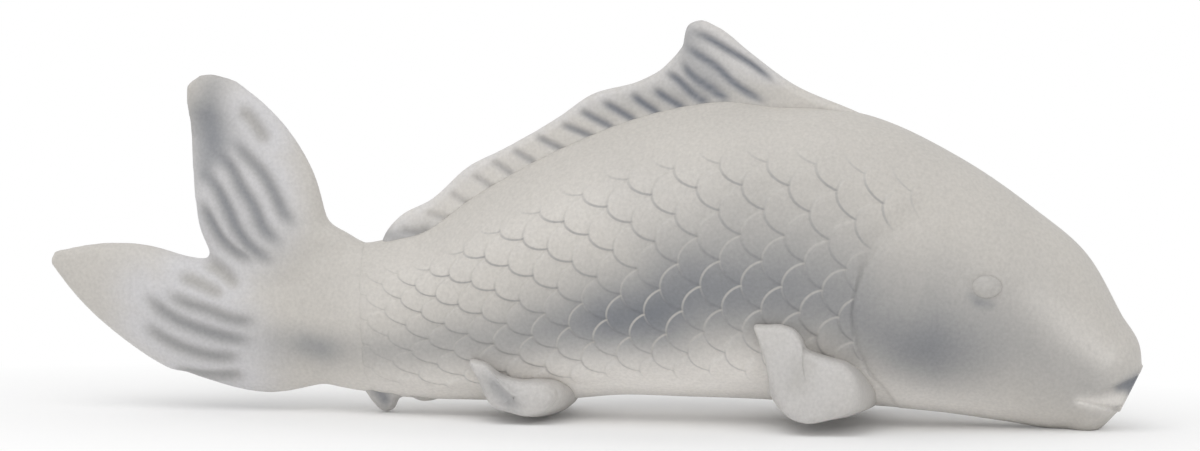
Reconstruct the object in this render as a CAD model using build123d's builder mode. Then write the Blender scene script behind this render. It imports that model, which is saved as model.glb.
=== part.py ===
"""Carp figurine in satin-etched cast glass, lying on its belly with the tail raised.

The head points along +X, the back along +Z, and the fish's left side faces +Y. The figurine stands at
Z = 0 on flats ground on its belly and fins, and X = 0 is half-way along it. Shares place a form on the
body: along it from the tail root to the lips, and up it from the floor.
"""

from build123d import *
from math import cos, pi, radians, sin
import os

os.makedirs("parts", exist_ok=True)

# Driving sizes of the body and head, with angles in degrees
body_length = 241.5 * MM
body_height = 88.0 * MM
body_width = 60.0 * MM
gill_cover_length = 43.5 * MM
gill_cover_height = 54.5 * MM
gill_cover_thickness = 3.6 * MM
gill_cover_rise = 1.2 * MM
eye_diameter = 10.0 * MM
eye_bulge = 2.0 * MM
eye_seat_depth = 2.4 * MM
mouth_height = 11.5 * MM
mouth_width = 13.0 * MM
throat_depth = 16.0 * MM
throat_taper = 11
gape_groove_depth = 1.6 * MM

# Driving sizes of the dorsal fin
dorsal_fin_length = 153.8 * MM
dorsal_fin_height = 27.3 * MM
dorsal_base_thickness = 7.2 * MM
dorsal_edge_thickness = 3.2 * MM
dorsal_front_angle = 76.5
dorsal_ray_width = 5.0 * MM
dorsal_ray_depth = 0.8 * MM
dorsal_ray_spacing = 11.0 * MM

# Driving sizes of the tail
upper_lobe_length = 65.0 * MM
upper_lobe_chord = 40.0 * MM
upper_lobe_thickness = 16.4 * MM
upper_lobe_angle = 111
lower_lobe_length = 87.4 * MM
lower_lobe_chord = 41.5 * MM
lower_lobe_thickness = 18.6 * MM
lower_lobe_angle = 168
tail_ray_width = 5.0 * MM
tail_ray_depth = 0.7 * MM

# Driving sizes of the fins under the body
pectoral_length = 34.8 * MM
pectoral_height = 30.3 * MM
pectoral_reach = 37.0 * MM
pectoral_lean = 7
pectoral_valley_width = 7.0 * MM
pectoral_valley_depth = 2.0 * MM
pelvic_length = 30.4 * MM
pelvic_height = 16.1 * MM
pelvic_reach = 26.0 * MM
pelvic_lean = 8
pelvic_hollow_width = 8.0 * MM
pelvic_hollow_depth = 1.6 * MM
fin_edge_round = 1.8 * MM
anal_fin_length = 29.0 * MM
anal_fin_height = 13.2 * MM
anal_fin_thickness = 9.0 * MM

# Flat sides that stand for each curve
ring_sides = 30
mouth_sides = 14
gill_sides = 20
eye_sides = 20
lobe_sides = 12

# Body stations from the lips to the tail root: place along and up of the centre line, then the section's
# height and width, and the angle that the body climbs at there
station_shares = (
    (1.009, 0.114, 0.205, 0.230),
    (1.000, 0.122, 0.273, 0.333),
    (0.957, 0.192, 0.440, 0.500),
    (0.903, 0.300, 0.625, 0.683),
    (0.831, 0.393, 0.756, 0.833),
    (0.746, 0.486, 0.886, 0.933),
    (0.650, 0.559, 0.993, 1.000),
    (0.547, 0.575, 1.000, 1.000),
    (0.441, 0.553, 0.955, 0.950),
    (0.341, 0.491, 0.848, 0.850),
    (0.243, 0.399, 0.727, 0.717),
    (0.152, 0.323, 0.573, 0.567),
    (0.067, 0.318, 0.511, 0.433),
    (-0.010, 0.350, 0.500, 0.310),
)
station_climbs = (-26, -26, -26, -25, -22, -16, -8, 0, 6, 14, 20, 18, 5, -8)
all_round_shares = (1.0,) * len(station_shares)
behind_cheek_shares = (0.0,) * 5 + (0.5,) + (1.0,) * 8

# The gill edge from the nape round the cheek to the throat, and the middle of the gill cover
gill_edge_shares = (
    (0.800, 1.080),
    (0.778, 0.880),
    (0.754, 0.745),
    (0.702, 0.625),
    (0.674, 0.430),
    (0.690, 0.215),
    (0.716, 0.110),
    (0.730, -0.100),
)
ahead_share = 1.1
gill_cover_shares = (0.710, 0.390)

# The eye with its two rounds, the gape from its corner to past the lips, and the middle of the mouth
eye_shares = (0.833, 0.508)
eye_round_shares = (0.9, 0.5)
gape_shares = ((0.940, 0.121), (1.062, 0.226), (1.064, 0.005))
mouth_shares = (1.009, 0.124)

# The dorsal fin's edge, as shares of its length from the front and of its height above the back
dorsal_edge_shares = (
    (0.000, 0.060),
    (0.156, 0.309),
    (0.229, 0.623),
    (0.285, 0.923),
    (0.309, 1.000),
    (0.325, 0.981),
    (0.347, 0.724),
    (0.368, 0.609),
    (0.390, 0.523),
    (0.427, 0.459),
    (0.522, 0.458),
    (0.588, 0.366),
    (0.715, 0.338),
    (0.777, 0.386),
    (0.876, 0.369),
    (0.936, 0.473),
    (1.000, 0.504),
)
back_stations = (10, 8, 5)
blade_rise_shares = (-1.10, -0.16, 0.18, 1.05)
blade_flare_share = 1.5
dorsal_ray_shares = ((0.03, 0.20), (0.19, 1.0))

# Tail lobes from root to tip: the middle of each section along and across the lobe as shares of its
# length, then the section's chord and thickness, with the angle that it leans on the lobe's own. Each
# furrow runs between two sections, at a share of half the chord of each
upper_lobe_root_shares = (-0.058, 0.466)
upper_lobe_shares = (
    (0.000, 0.000, 0.89, 0.98),
    (0.272, -0.025, 1.00, 1.00),
    (0.536, -0.056, 0.89, 0.74),
    (0.755, -0.053, 0.675, 0.53),
    (0.928, -0.016, 0.40, 0.35),
    (1.000, 0.000, 0.10, 0.21),
)
upper_lobe_leans = (-14, -15, -15, -15, -15, -15)
upper_ray_shares = (
    ((1, -0.55), (3, -0.20)),
    ((1, -0.25), (3, 0.35)),
    ((1, 0.05), (2, 0.55)),
    ((0, 0.30), (1, 0.55)),
)
lower_lobe_root_shares = (0.004, 0.315)
lower_lobe_shares = (
    (0.000, 0.000, 0.93, 0.86),
    (0.209, 0.065, 1.00, 1.00),
    (0.516, 0.088, 0.91, 0.94),
    (0.718, 0.056, 0.70, 0.67),
    (0.885, 0.021, 0.40, 0.43),
    (1.000, 0.000, 0.095, 0.18),
)
lower_lobe_leans = (12, 12, 9, 2, -5, -8)
lower_ray_shares = (
    ((1, 0.00), (3, -0.40)),
    ((1, 0.28), (3, 0.05)),
    ((1, 0.52), (3, 0.45)),
)
furrow_reach_share = 1.1

# The fins under the body: the corner of each one's box on the body, then its outline in that box
pectoral_corner_shares = (0.551, 0.028)
pectoral_shares = (
    (1.00, 0.27),
    (0.97, 0.18),
    (0.65, 0.03),
    (0.49, 0.00),
    (0.35, 0.02),
    (0.20, 0.21),
    (0.06, 0.38),
    (0.00, 0.65),
    (0.01, 0.94),
    (0.20, 1.00),
    (0.37, 0.97),
    (0.46, 0.79),
    (0.64, 0.72),
    (0.84, 0.65),
    (0.96, 0.50),
)
pectoral_valley_shares = ((0.33, 0.22), (0.41, 0.76))
pelvic_corner_shares = (0.195, 0.022)
pelvic_shares = (
    (0.01, 1.00),
    (0.21, 0.82),
    (0.47, 0.63),
    (0.64, 0.66),
    (0.89, 0.64),
    (1.00, 0.37),
    (0.83, 0.18),
    (0.64, 0.00),
    (0.43, 0.02),
    (0.15, 0.22),
    (0.00, 0.59),
)
pelvic_hollow_shares = ((0.24, 0.66), (0.42, 0.18))
fin_root_share = 0.75
anal_fin_corner_shares = (0.030, -0.010)
anal_fin_shares = (
    (0.00, 1.00),
    (0.06, 0.77),
    (0.13, 0.59),
    (0.25, 0.20),
    (0.32, 0.00),
    (0.45, 0.00),
    (0.53, 0.35),
    (0.63, 0.41),
    (0.78, 0.29),
    (0.98, 0.45),
    (1.00, 0.87),
)


def place(shares):
    """The point in the fish's middle plane at a share along the body and a share up it."""
    return Vector(shares[0] * body_length, 0, shares[1] * body_height)


def heading(angle):
    """The direction in the middle plane that climbs from +X by an angle."""
    return Vector(cos(radians(angle)), 0, sin(radians(angle)))


def body_outline(outline_shares):
    """Corners on the body's shares, for a sketch that is seen from the fish's right side."""
    return [(place(shares).X, place(shares).Z) for shares in outline_shares]


def fin_outline(corner_shares, outline_shares, length, height):
    """Corners of a fin's outline in a box whose corner lies at shares of the body."""
    corner = place(corner_shares)
    return [(corner.X + along * length, corner.Z + up * height) for along, up in outline_shares]


def flat_sided(curve, sides):
    """Corners that follow a curve in flat sides, both ends included."""
    return [curve @ (side / sides) for side in range(sides + 1)]


def ring(width, height, sides):
    """Corners of a section with flat sides, set out evenly round an ellipse."""
    turns = [2 * pi * side / sides for side in range(sides)]
    return [(width / 2 * cos(turn), height / 2 * sin(turn)) for turn in turns]


def section_plane(middle, angle):
    """A section's plane across the fish, facing the way that the form runs."""
    return Plane(origin=middle, x_dir=(0, 1, 0), z_dir=heading(angle))


def above_floor(solid):
    """The part of a form that stands above the floor."""
    with BuildPart() as form:
        add(solid)
        split(bisect_by=Plane.XY, keep=Keep.TOP)
    return form.part


def seated(solid, *neighbours):
    """A fin ground flat on the floor and cut to the forms that it grows from."""
    with BuildPart() as form:
        add(above_floor(solid))
        for neighbour in neighbours:
            add(neighbour, mode=Mode.SUBTRACT)
    return form.part


def flipped(solid):
    """The same form on the fish's other side."""
    with BuildPart() as form:
        mirror(solid, about=Plane.XZ)
    return form.part


def body(rise, rise_shares):
    """The body from the lips to the tail root, raised all round by a share of rise at each station."""
    with BuildPart() as form:
        for shares, climb, rise_share in zip(station_shares, station_climbs, rise_shares):
            width = shares[3] * body_width + 2 * rise_share * rise
            height = shares[2] * body_height + 2 * rise_share * rise
            with BuildSketch(section_plane(place(shares), climb)):
                Polygon(*ring(width, height, ring_sides), align=None)
        loft()
    return form.part


def back_top(station):
    """The top of the body's section at a station."""
    shares = station_shares[station]
    return place(shares) + heading(station_climbs[station] + 90) * (shares[2] * body_height / 2)


def on_right_face(solid, point):
    """Where a line across the fish through a point meets a form's right face."""
    start = Vector(point.X, -body_width, point.Z)
    return solid.find_intersection_points(Axis(origin=start, direction=(0, 1, 0)))[0][0]


def furrows(solid, runs, width, depth):
    """Furrows on a form's right face along runs of two points, each fading out at its first point."""
    with BuildPart() as form:
        for run in runs:
            start, end = [on_right_face(solid, point) for point in run]
            start -= Vector(0, depth, 0)
            with BuildSketch(Plane(origin=start, x_dir=(0, 1, 0), z_dir=end - start)):
                Polygon(
                    (depth, 0), (0, width / 2), (-width, width / 2), (-width, -width / 2), (0, -width / 2),
                    align=None,
                )
            extrude(amount=(end - start).length * furrow_reach_share)
    return form.part


def rayed(solid, grooves):
    """A form with the same grooves cut into both of its faces."""
    with BuildPart() as form:
        add(solid)
        add(grooves, mode=Mode.SUBTRACT)
        add(flipped(grooves), mode=Mode.SUBTRACT)
    return form.part


def tail_lobe(root_shares, lobe_shares, leans, ray_shares, angle, length, chord, thickness):
    """A tail lobe lofted from its root to its tip, with furrows between its rays on both faces."""
    sections = []
    with BuildPart() as form:
        for (along, across, chord_share, thickness_share), lean in zip(lobe_shares, leans):
            middle = place(root_shares) + (heading(angle) * along + heading(angle + 90) * across) * length
            sections.append((section_plane(middle, angle + lean), chord_share * chord))
            with BuildSketch(sections[-1][0]):
                Polygon(*ring(thickness_share * thickness, chord_share * chord, lobe_sides), align=None)
        loft()

    def chord_place(section, share):
        plane, section_chord = sections[section]
        return plane.origin + plane.y_dir * (share * section_chord / 2)

    runs = [(chord_place(*start), chord_place(*end)) for start, end in ray_shares]
    return rayed(form.part, furrows(form.part, runs, tail_ray_width, tail_ray_depth))


def paired_fin(corners, reach, lean, run, furrow_width, furrow_depth):
    """The right one of a pair of fins, leaning in at its top, with its outer edge rounded off."""
    upright = cos(radians(lean))
    outwards = Vector(0, -upright, sin(radians(lean)))
    with BuildPart() as form:
        with BuildSketch(Plane(origin=(0, -reach, 0), x_dir=(1, 0, 0), z_dir=outwards)):
            Polygon(*[(along, up / upright) for along, up in corners], align=None)
        extrude(amount=-reach * fin_root_share)
        outer_face = form.faces().sort_by(Axis(origin=(0, 0, 0), direction=outwards))[-1]
        chamfer(outer_face.edges(), fin_edge_round)
        start, end = [Vector(along, 0, up) for along, up in run]
        add(furrows(form.part, ((start, end),), furrow_width, furrow_depth), mode=Mode.SUBTRACT)
    return form.part


blank = above_floor(body(0.0, all_round_shares))

# Everything ahead of the gill edge, from the nape to the throat
with BuildPart() as front:
    with BuildSketch(Plane.XZ):
        gill_curve = Spline(*body_outline(gill_edge_shares), mode=Mode.PRIVATE)
        gill_edge = [(corner.X, corner.Z) for corner in flat_sided(gill_curve, gill_sides)]
        ahead = ahead_share * body_length
        Polygon(*gill_edge, (ahead, gill_edge[-1][1]), (ahead, gill_edge[0][1]), align=None)
    extrude(amount=body_width, both=True)

with BuildPart() as trunk:
    add(blank)
    add(front.part, mode=Mode.SUBTRACT)

# Gill covers, raised at their rear edge and flush with the cheek in front, each in its own pocket
with BuildPart() as gill_pockets:
    with BuildSketch(Plane.XZ):
        with Locations(*body_outline((gill_cover_shares,))):
            Polygon(*ring(gill_cover_length, gill_cover_height, gill_sides), align=None)
    extrude(amount=body_width, both=True)
    add(front.part, mode=Mode.INTERSECT)
    add(body(gill_cover_rise - gill_cover_thickness, all_round_shares), mode=Mode.SUBTRACT)
with BuildPart() as right_gill_cover:
    add(gill_pockets.part)
    add(body(gill_cover_rise, behind_cheek_shares), mode=Mode.INTERSECT)
    split(bisect_by=Plane.XZ, keep=Keep.TOP)

# The mouth: a shallow groove back to its corners, and the throat
with BuildPart() as gape:
    with BuildSketch(Plane.XZ):
        Polygon(*body_outline(gape_shares), align=None)
    extrude(amount=body_width, both=True)
    add(body(-gape_groove_depth, all_round_shares), mode=Mode.SUBTRACT)
with BuildPart() as throat:
    mouth_plane = section_plane(place(mouth_shares), station_climbs[0])
    with BuildSketch(mouth_plane):
        Polygon(*ring(mouth_width, mouth_height, mouth_sides), align=None)
    extrude(amount=-throat_depth, taper=throat_taper)
    with BuildSketch(mouth_plane):
        Polygon(*ring(mouth_width, mouth_height, mouth_sides), align=None)
    extrude(amount=throat_depth)

# Eyes, each seated in a pocket square to the cheek
eye_line = Axis(origin=place(eye_shares) - Vector(0, body_width, 0), direction=(0, 1, 0))
cheek_point, cheek_normal = blank.find_intersection_points(eye_line)[0]
with BuildPart() as right_eye:
    with BuildSketch(Plane(origin=cheek_point + cheek_normal * eye_bulge, z_dir=cheek_normal)):
        RegularPolygon(eye_diameter / 2, eye_sides)
    extrude(amount=-(eye_bulge + eye_seat_depth))
    for round_share in eye_round_shares:
        crown = right_eye.faces().sort_by(Axis(origin=cheek_point, direction=cheek_normal))[-1]
        chamfer(crown.edges(), round_share * eye_bulge)
left_eye = flipped(right_eye.part)

with BuildPart() as head:
    add(blank)
    add(front.part, mode=Mode.INTERSECT)
    for cut in (gill_pockets.part, gape.part, throat.part, right_eye.part, left_eye):
        add(cut, mode=Mode.SUBTRACT)

# Dorsal fin: a blade turned about the middle of the back's arc, rayed, and cut to its edge
back_arc = ThreePointArc(*[back_top(station) for station in back_stations])
back_middle = back_arc.arc_center
back_radius = back_arc.radius


def back_place(along, up):
    """The point at shares of the dorsal fin's length and height, along the back and above it."""
    angle = dorsal_front_angle + along * dorsal_fin_length / back_radius * 180 / pi
    return back_middle + heading(angle) * (back_radius + up * dorsal_fin_height)


blade_radii = [back_radius + share * dorsal_fin_height for share in blade_rise_shares]
flare_thickness = blade_flare_share * dorsal_base_thickness
blade_thicknesses = (flare_thickness, flare_thickness, dorsal_base_thickness, dorsal_edge_thickness)
blade_side = [(thickness / 2, radius) for thickness, radius in zip(blade_thicknesses, blade_radii)]
with BuildPart() as blade:
    with BuildSketch(Plane(origin=back_middle, x_dir=(0, 1, 0), z_dir=(1, 0, 0))):
        Polygon(*blade_side, *[(-across, radius) for across, radius in reversed(blade_side)], align=None)
    revolve(axis=Axis(origin=back_middle, direction=(0, 1, 0)))
dorsal_runs = []
for ray in range(int(dorsal_fin_length / dorsal_ray_spacing)):
    ray_place = ray * dorsal_ray_spacing / dorsal_fin_length
    dorsal_runs.append([back_place(ray_place + along, up) for along, up in dorsal_ray_shares])
dorsal_grooves = furrows(blade.part, dorsal_runs, dorsal_ray_width, dorsal_ray_depth)
with BuildPart() as dorsal_fin:
    with BuildSketch(Plane.XZ):
        edge = [back_place(*shares) for shares in dorsal_edge_shares]
        Polygon(*[(corner.X, corner.Z) for corner in edge], (back_middle.X, back_middle.Z), align=None)
    extrude(amount=dorsal_base_thickness * 2, both=True)
    add(rayed(blade.part, dorsal_grooves), mode=Mode.INTERSECT)

upper_lobe = tail_lobe(
    upper_lobe_root_shares, upper_lobe_shares, upper_lobe_leans, upper_ray_shares,
    upper_lobe_angle, upper_lobe_length, upper_lobe_chord, upper_lobe_thickness,
)
lower_lobe = tail_lobe(
    lower_lobe_root_shares, lower_lobe_shares, lower_lobe_leans, lower_ray_shares,
    lower_lobe_angle, lower_lobe_length, lower_lobe_chord, lower_lobe_thickness,
)

pectoral_fin = paired_fin(
    fin_outline(pectoral_corner_shares, pectoral_shares, pectoral_length, pectoral_height),
    pectoral_reach, pectoral_lean,
    fin_outline(pectoral_corner_shares, pectoral_valley_shares, pectoral_length, pectoral_height),
    pectoral_valley_width, pectoral_valley_depth,
)
pelvic_fin = paired_fin(
    fin_outline(pelvic_corner_shares, pelvic_shares, pelvic_length, pelvic_height),
    pelvic_reach, pelvic_lean,
    fin_outline(pelvic_corner_shares, pelvic_hollow_shares, pelvic_length, pelvic_height),
    pelvic_hollow_width, pelvic_hollow_depth,
)
with BuildPart() as anal_fin:
    with BuildSketch(Plane.XZ):
        corners = fin_outline(anal_fin_corner_shares, anal_fin_shares, anal_fin_length, anal_fin_height)
        Polygon(*corners, align=None)
    extrude(amount=anal_fin_thickness / 2, both=True)

# Every piece where it grows from its neighbours
pieces = {
    "trunk": trunk.part,
    "head": head.part,
    "right_gill_cover": right_gill_cover.part,
    "left_gill_cover": flipped(right_gill_cover.part),
    "right_eye": right_eye.part,
    "left_eye": left_eye,
    "dorsal_fin": seated(dorsal_fin.part, blank),
    "tail_upper_lobe": seated(upper_lobe, blank),
    "anal_fin": seated(anal_fin.part, blank),
    "right_pectoral_fin": seated(pectoral_fin, blank, right_gill_cover.part),
    "right_pelvic_fin": seated(pelvic_fin, blank),
}
pieces["tail_lower_lobe"] = seated(lower_lobe, blank, pieces["tail_upper_lobe"])
pieces["left_pectoral_fin"] = flipped(pieces["right_pectoral_fin"])
pieces["left_pelvic_fin"] = flipped(pieces["right_pelvic_fin"])

# Half-way along the whole figurine goes to X = 0
boxes = [piece.bounding_box() for piece in pieces.values()]
midway = (min(box.min.X for box in boxes) + max(box.max.X for box in boxes)) / 2
for name, piece in pieces.items():
    with BuildPart() as placed:
        with Locations((-midway, 0, 0)):
            add(piece)
    placed.part.label = name
    export_step(placed.part, f"parts/{name}.step")
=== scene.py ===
from math import cos, pi, radians, sin

import bpy
import numpy as np
from bpy.props import FloatProperty, FloatVectorProperty, PointerProperty
from mathutils import Matrix, Vector


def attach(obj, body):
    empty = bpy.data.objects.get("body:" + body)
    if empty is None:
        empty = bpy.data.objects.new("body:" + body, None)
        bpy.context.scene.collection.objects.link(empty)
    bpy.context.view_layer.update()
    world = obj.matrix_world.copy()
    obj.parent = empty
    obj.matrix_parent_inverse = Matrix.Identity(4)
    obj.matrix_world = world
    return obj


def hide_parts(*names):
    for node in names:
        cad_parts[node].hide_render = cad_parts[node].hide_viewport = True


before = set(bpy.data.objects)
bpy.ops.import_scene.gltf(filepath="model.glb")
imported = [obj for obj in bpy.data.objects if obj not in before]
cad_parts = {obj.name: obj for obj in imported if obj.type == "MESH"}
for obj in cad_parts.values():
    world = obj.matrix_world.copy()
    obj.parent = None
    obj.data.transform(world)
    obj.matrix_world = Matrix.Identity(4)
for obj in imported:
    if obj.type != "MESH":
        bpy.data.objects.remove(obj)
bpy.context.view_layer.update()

bl_info = {
    "name": "Etched glass carp",
    "version": (1, 0, 0),
    "blender": (4, 5, 0),
    "location": "3D View > Sidebar > Glass carp",
    "description": "Builds a carp figurine in satin-etched cast glass and the studio that it stands in",
    "category": "Add Mesh",
}

mm = 0.001

# Body stations from the lips to the tail root: place along and up of the centre line, then the
# section's height and width, and the angle that the body climbs at there
station_shares = (
    (1.004, 0.138, 0.180, 0.225),
    (0.994, 0.133, 0.288, 0.345),
    (0.957, 0.192, 0.440, 0.500),
    (0.903, 0.300, 0.625, 0.683),
    (0.831, 0.393, 0.756, 0.833),
    (0.746, 0.486, 0.886, 0.933),
    (0.650, 0.559, 0.993, 1.000),
    (0.547, 0.575, 1.000, 1.000),
    (0.441, 0.553, 0.955, 0.950),
    (0.341, 0.491, 0.848, 0.850),
    (0.243, 0.399, 0.727, 0.717),
    (0.152, 0.323, 0.573, 0.567),
    (0.067, 0.325, 0.533, 0.433),
    (-0.010, 0.350, 0.500, 0.310),
)
station_climbs = (-26, -26, -26, -25, -22, -16, -8, 0, 6, 14, 20, 18, 5, -8)

# The gill edge from the nape round the cheek to the throat, then the eye and the gape's two lips
gill_edge_shares = (
    (0.800, 1.080), (0.778, 0.880), (0.754, 0.745), (0.702, 0.625), (0.674, 0.430), (0.690, 0.215),
    (0.716, 0.110), (0.730, -0.100),
)
eye_shares = (0.830, 0.498)
gape_corner_shares = (0.936, 0.110)
upper_lip_shares = (1.025, 0.205)
lower_lip_shares = (1.005, 0.062)

# The dorsal fin's edge, as shares of its length from the front and of its height above the back
dorsal_edge_shares = (
    (0.000, 0.060), (0.156, 0.309), (0.229, 0.623), (0.285, 0.923), (0.309, 1.000), (0.325, 0.981),
    (0.347, 0.724), (0.368, 0.609), (0.390, 0.523), (0.427, 0.459), (0.522, 0.458), (0.588, 0.366),
    (0.715, 0.338), (0.777, 0.386), (0.876, 0.369), (0.936, 0.473), (0.975, 0.470), (1.000, 0.425),
)
# The stations whose tops the arc of the back runs through
back_stations = (10, 8, 5)

# The furrows between the dorsal fin's rays, as places along and up the body
dorsal_furrow_shares = (
    ((0.459, 1.326), (0.478, 1.307), (0.506, 1.264), (0.535, 1.219), (0.566, 1.155)),
    ((0.450, 1.281), (0.468, 1.248), (0.491, 1.209), (0.511, 1.159), (0.530, 1.123), (0.556, 1.085)),
    ((0.448, 1.223), (0.459, 1.183), (0.483, 1.137), (0.511, 1.087)),
    ((0.428, 1.191), (0.444, 1.161), (0.464, 1.111), (0.488, 1.072)),
    ((0.414, 1.129), (0.430, 1.099), (0.456, 1.060)),
    ((0.386, 1.110), (0.401, 1.080), (0.424, 1.041)),
    ((0.350, 1.084), (0.368, 1.057), (0.395, 1.015)),
    ((0.321, 1.054), (0.339, 1.028), (0.366, 0.992)),
    ((0.298, 1.005), (0.320, 0.983), (0.343, 0.957)),
    ((0.265, 0.965), (0.284, 0.939), (0.308, 0.910)),
    ((0.235, 0.919), (0.251, 0.893), (0.269, 0.867)),
    ((0.210, 0.876), (0.226, 0.850), (0.239, 0.827)),
    ((0.186, 0.827), (0.204, 0.797), (0.219, 0.774)),
    ((0.158, 0.764), (0.174, 0.737), (0.189, 0.721)),
    ((0.129, 0.693), (0.146, 0.681), (0.161, 0.675)),
    ((0.095, 0.637), (0.114, 0.624), (0.134, 0.639)),
)

# Tail lobes from root to tip: the middle of each section along and across the lobe as shares of its
# length, the section's chord and thickness, and the angle that it leans on the lobe's own
upper_lobe_root_shares = (-0.0625, 0.466)
upper_lobe_shares = (
    (0.000, 0.000, 0.89, 0.98, -14),
    (0.272, -0.025, 1.00, 1.00, -15),
    (0.536, -0.056, 0.89, 0.74, -15),
    (0.755, -0.053, 0.675, 0.53, -15),
    (0.900, -0.022, 0.48, 0.40, -15),
    (0.965, -0.008, 0.33, 0.28, -15),
    (1.000, 0.000, 0.10, 0.15, -15),
)
lower_lobe_root_shares = (0.004, 0.315)
lower_lobe_shares = (
    (0.000, 0.000, 0.93, 0.86, 12),
    (0.209, 0.065, 1.00, 1.00, 12),
    (0.360, 0.093, 0.92, 0.98, 11),
    (0.516, 0.095, 0.88, 0.94, 9),
    (0.718, 0.056, 0.70, 0.67, 2),
    (0.885, 0.021, 0.40, 0.43, -5),
    (1.000, 0.000, 0.095, 0.18, -8),
)

# The furrows between the tail's rays, as places along and up the body
tail_furrow_shares = (
    ((-0.110, 1.045), (-0.096, 1.010), (-0.075, 0.930)),
    ((-0.118, 0.940), (-0.101, 0.885), (-0.080, 0.828), (-0.063, 0.758), (-0.050, 0.691), (-0.033, 0.634)),
    ((-0.144, 0.904), (-0.121, 0.846), (-0.106, 0.777), (-0.088, 0.710), (-0.076, 0.639), (-0.050, 0.572)),
    ((-0.159, 0.831), (-0.140, 0.775), (-0.125, 0.708), (-0.112, 0.637), (-0.093, 0.570), (-0.058, 0.508)),
    ((-0.163, 0.725), (-0.148, 0.658), (-0.131, 0.589), (-0.110, 0.545), (-0.085, 0.520)),
    ((-0.229, 0.408), (-0.212, 0.364), (-0.187, 0.318), (-0.157, 0.286), (-0.123, 0.259), (-0.085, 0.243)),
    ((-0.230, 0.300), (-0.208, 0.255), (-0.178, 0.216), (-0.144, 0.190), (-0.101, 0.187)),
    ((-0.199, 0.410), (-0.174, 0.376), (-0.144, 0.351), (-0.115, 0.322), (-0.080, 0.312)),
    ((-0.152, 0.518), (-0.131, 0.485), (-0.110, 0.434)),
    ((-0.182, 0.470), (-0.157, 0.443), (-0.127, 0.404)),
    ((-0.196, 0.130), (-0.150, 0.115), (-0.100, 0.125)),
)

# The fins under the body: the corner of each one's box on the body, its outline in that box, and how
# softly each corner of the outline slopes away to the body
pectoral_corner_shares = (0.553, 0.042)
pectoral_shares = (
    (0.915, 0.27), (0.895, 0.17), (0.80, 0.09), (0.63, 0.03), (0.45, 0.00), (0.31, 0.05), (0.20, 0.18),
    (0.13, 0.40), (0.09, 0.62), (0.03, 0.81), (0.00, 0.93), (0.10, 0.94), (0.23, 0.94), (0.33, 0.90),
    (0.40, 0.81), (0.44, 0.71), (0.52, 0.67), (0.61, 0.63), (0.77, 0.57), (0.87, 0.45),
)
pectoral_soft_shares = (
    0.9, 1.0, 0.7, 0.3, 0.1, 0.3, 0.8, 0.9, 0.5, 0.1, 0.0, 0.0, 0.0, 0.0, 0.1, 0.2, 0.1, 0.1, 0.2, 0.5,
)
pectoral_middle_shares = (0.46, 0.38)
pectoral_valley_shares = ((0.45, 0.62), (0.42, 0.48), (0.37, 0.32))
pelvic_corner_shares = (0.197, 0.030)
pelvic_shares = (
    (0.00, 1.00), (0.12, 0.97), (0.30, 0.76), (0.48, 0.64), (0.68, 0.64), (0.79, 0.60), (0.87, 0.38),
    (0.79, 0.14), (0.64, 0.00), (0.43, 0.02), (0.20, 0.20), (0.10, 0.55),
)
pelvic_soft_shares = (0.2, 0.0, 0.0, 0.1, 0.5, 1.0, 1.0, 0.7, 0.2, 0.1, 0.8, 0.9)
pelvic_middle_shares = (0.45, 0.38)
pelvic_hollow_shares = ((0.20, 0.68), (0.32, 0.42), (0.46, 0.16))
anal_fin_corner_shares = (0.030, 0.001)
anal_fin_shares = (
    (0.00, 1.00), (0.06, 0.77), (0.13, 0.59), (0.25, 0.20), (0.31, 0.06), (0.39, 0.00), (0.46, 0.07),
    (0.53, 0.35), (0.63, 0.41), (0.78, 0.29), (0.98, 0.45), (1.00, 0.87), (0.60, 1.25), (0.20, 1.25),
)
anal_middle_shares = (0.45, 0.75)
anal_hollow_shares = ((0.30, 0.62), (0.40, 0.24))


def length(name, description, millimetres):
    """A size that a user may change, given in millimetres."""
    return FloatProperty(
        name=name, description=description, default=millimetres * mm, unit="LENGTH", subtype="DISTANCE"
    )


def share(name, description, default):
    """A plain number that a user may change."""
    return FloatProperty(name=name, description=description, default=default)


def turn(name, description, degrees):
    """An angle that a user may change, given in degrees."""
    return FloatProperty(
        name=name, description=description, default=radians(degrees), unit="ROTATION", subtype="ANGLE"
    )


def colour(name, description, *levels):
    """A colour that a user may change, given in display levels from 0 to 255."""
    linear = [((level / 255 + 0.055) / 1.055) ** 2.4 for level in levels]
    return FloatVectorProperty(
        name=name, description=description, default=linear, subtype="COLOR", size=3, min=0, max=1
    )


class BodySizes(bpy.types.PropertyGroup):
    """Sizes of the body and head, and of what is carved on them."""

    tail_root: length("Tail root", "Where the tail root lies along the figurine", -81.2)
    length: length("Length", "From the tail root to the lips", 241.5)
    height: length("Height", "Height of the body at its fullest", 88.0)
    width: length("Width", "Width of the body at its fullest", 60.0)
    lip_round: length("Lip round", "Radius of the lips' rim", 0.6)
    throat_depth: length("Throat depth", "Depth of the mouth behind the lips", 14.0)
    gill_rise: length("Gill rise", "How far the gill cover's rear edge stands up", 0.75)
    gill_run: length("Gill run", "How far ahead of its edge the gill cover is raised", 14.0)
    scale_length: length("Scale length", "Spacing of the scales along a row", 12.4)
    scale_row: length("Scale row", "Spacing of every other row of scales at the fullest section", 14.6)
    scale_rise: length("Scale rise", "Height of a scale at its rear edge", 1.3)
    scale_shift: share("Scale shift", "Where the first column of scales starts, in columns", 0.24)
    eye_length: length("Eye length", "Length of the eye", 10.5)
    eye_height: length("Eye height", "Height of the eye", 7.8)
    eye_bulge: length("Eye bulge", "How far the eye stands out of its lids", 1.8)


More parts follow.
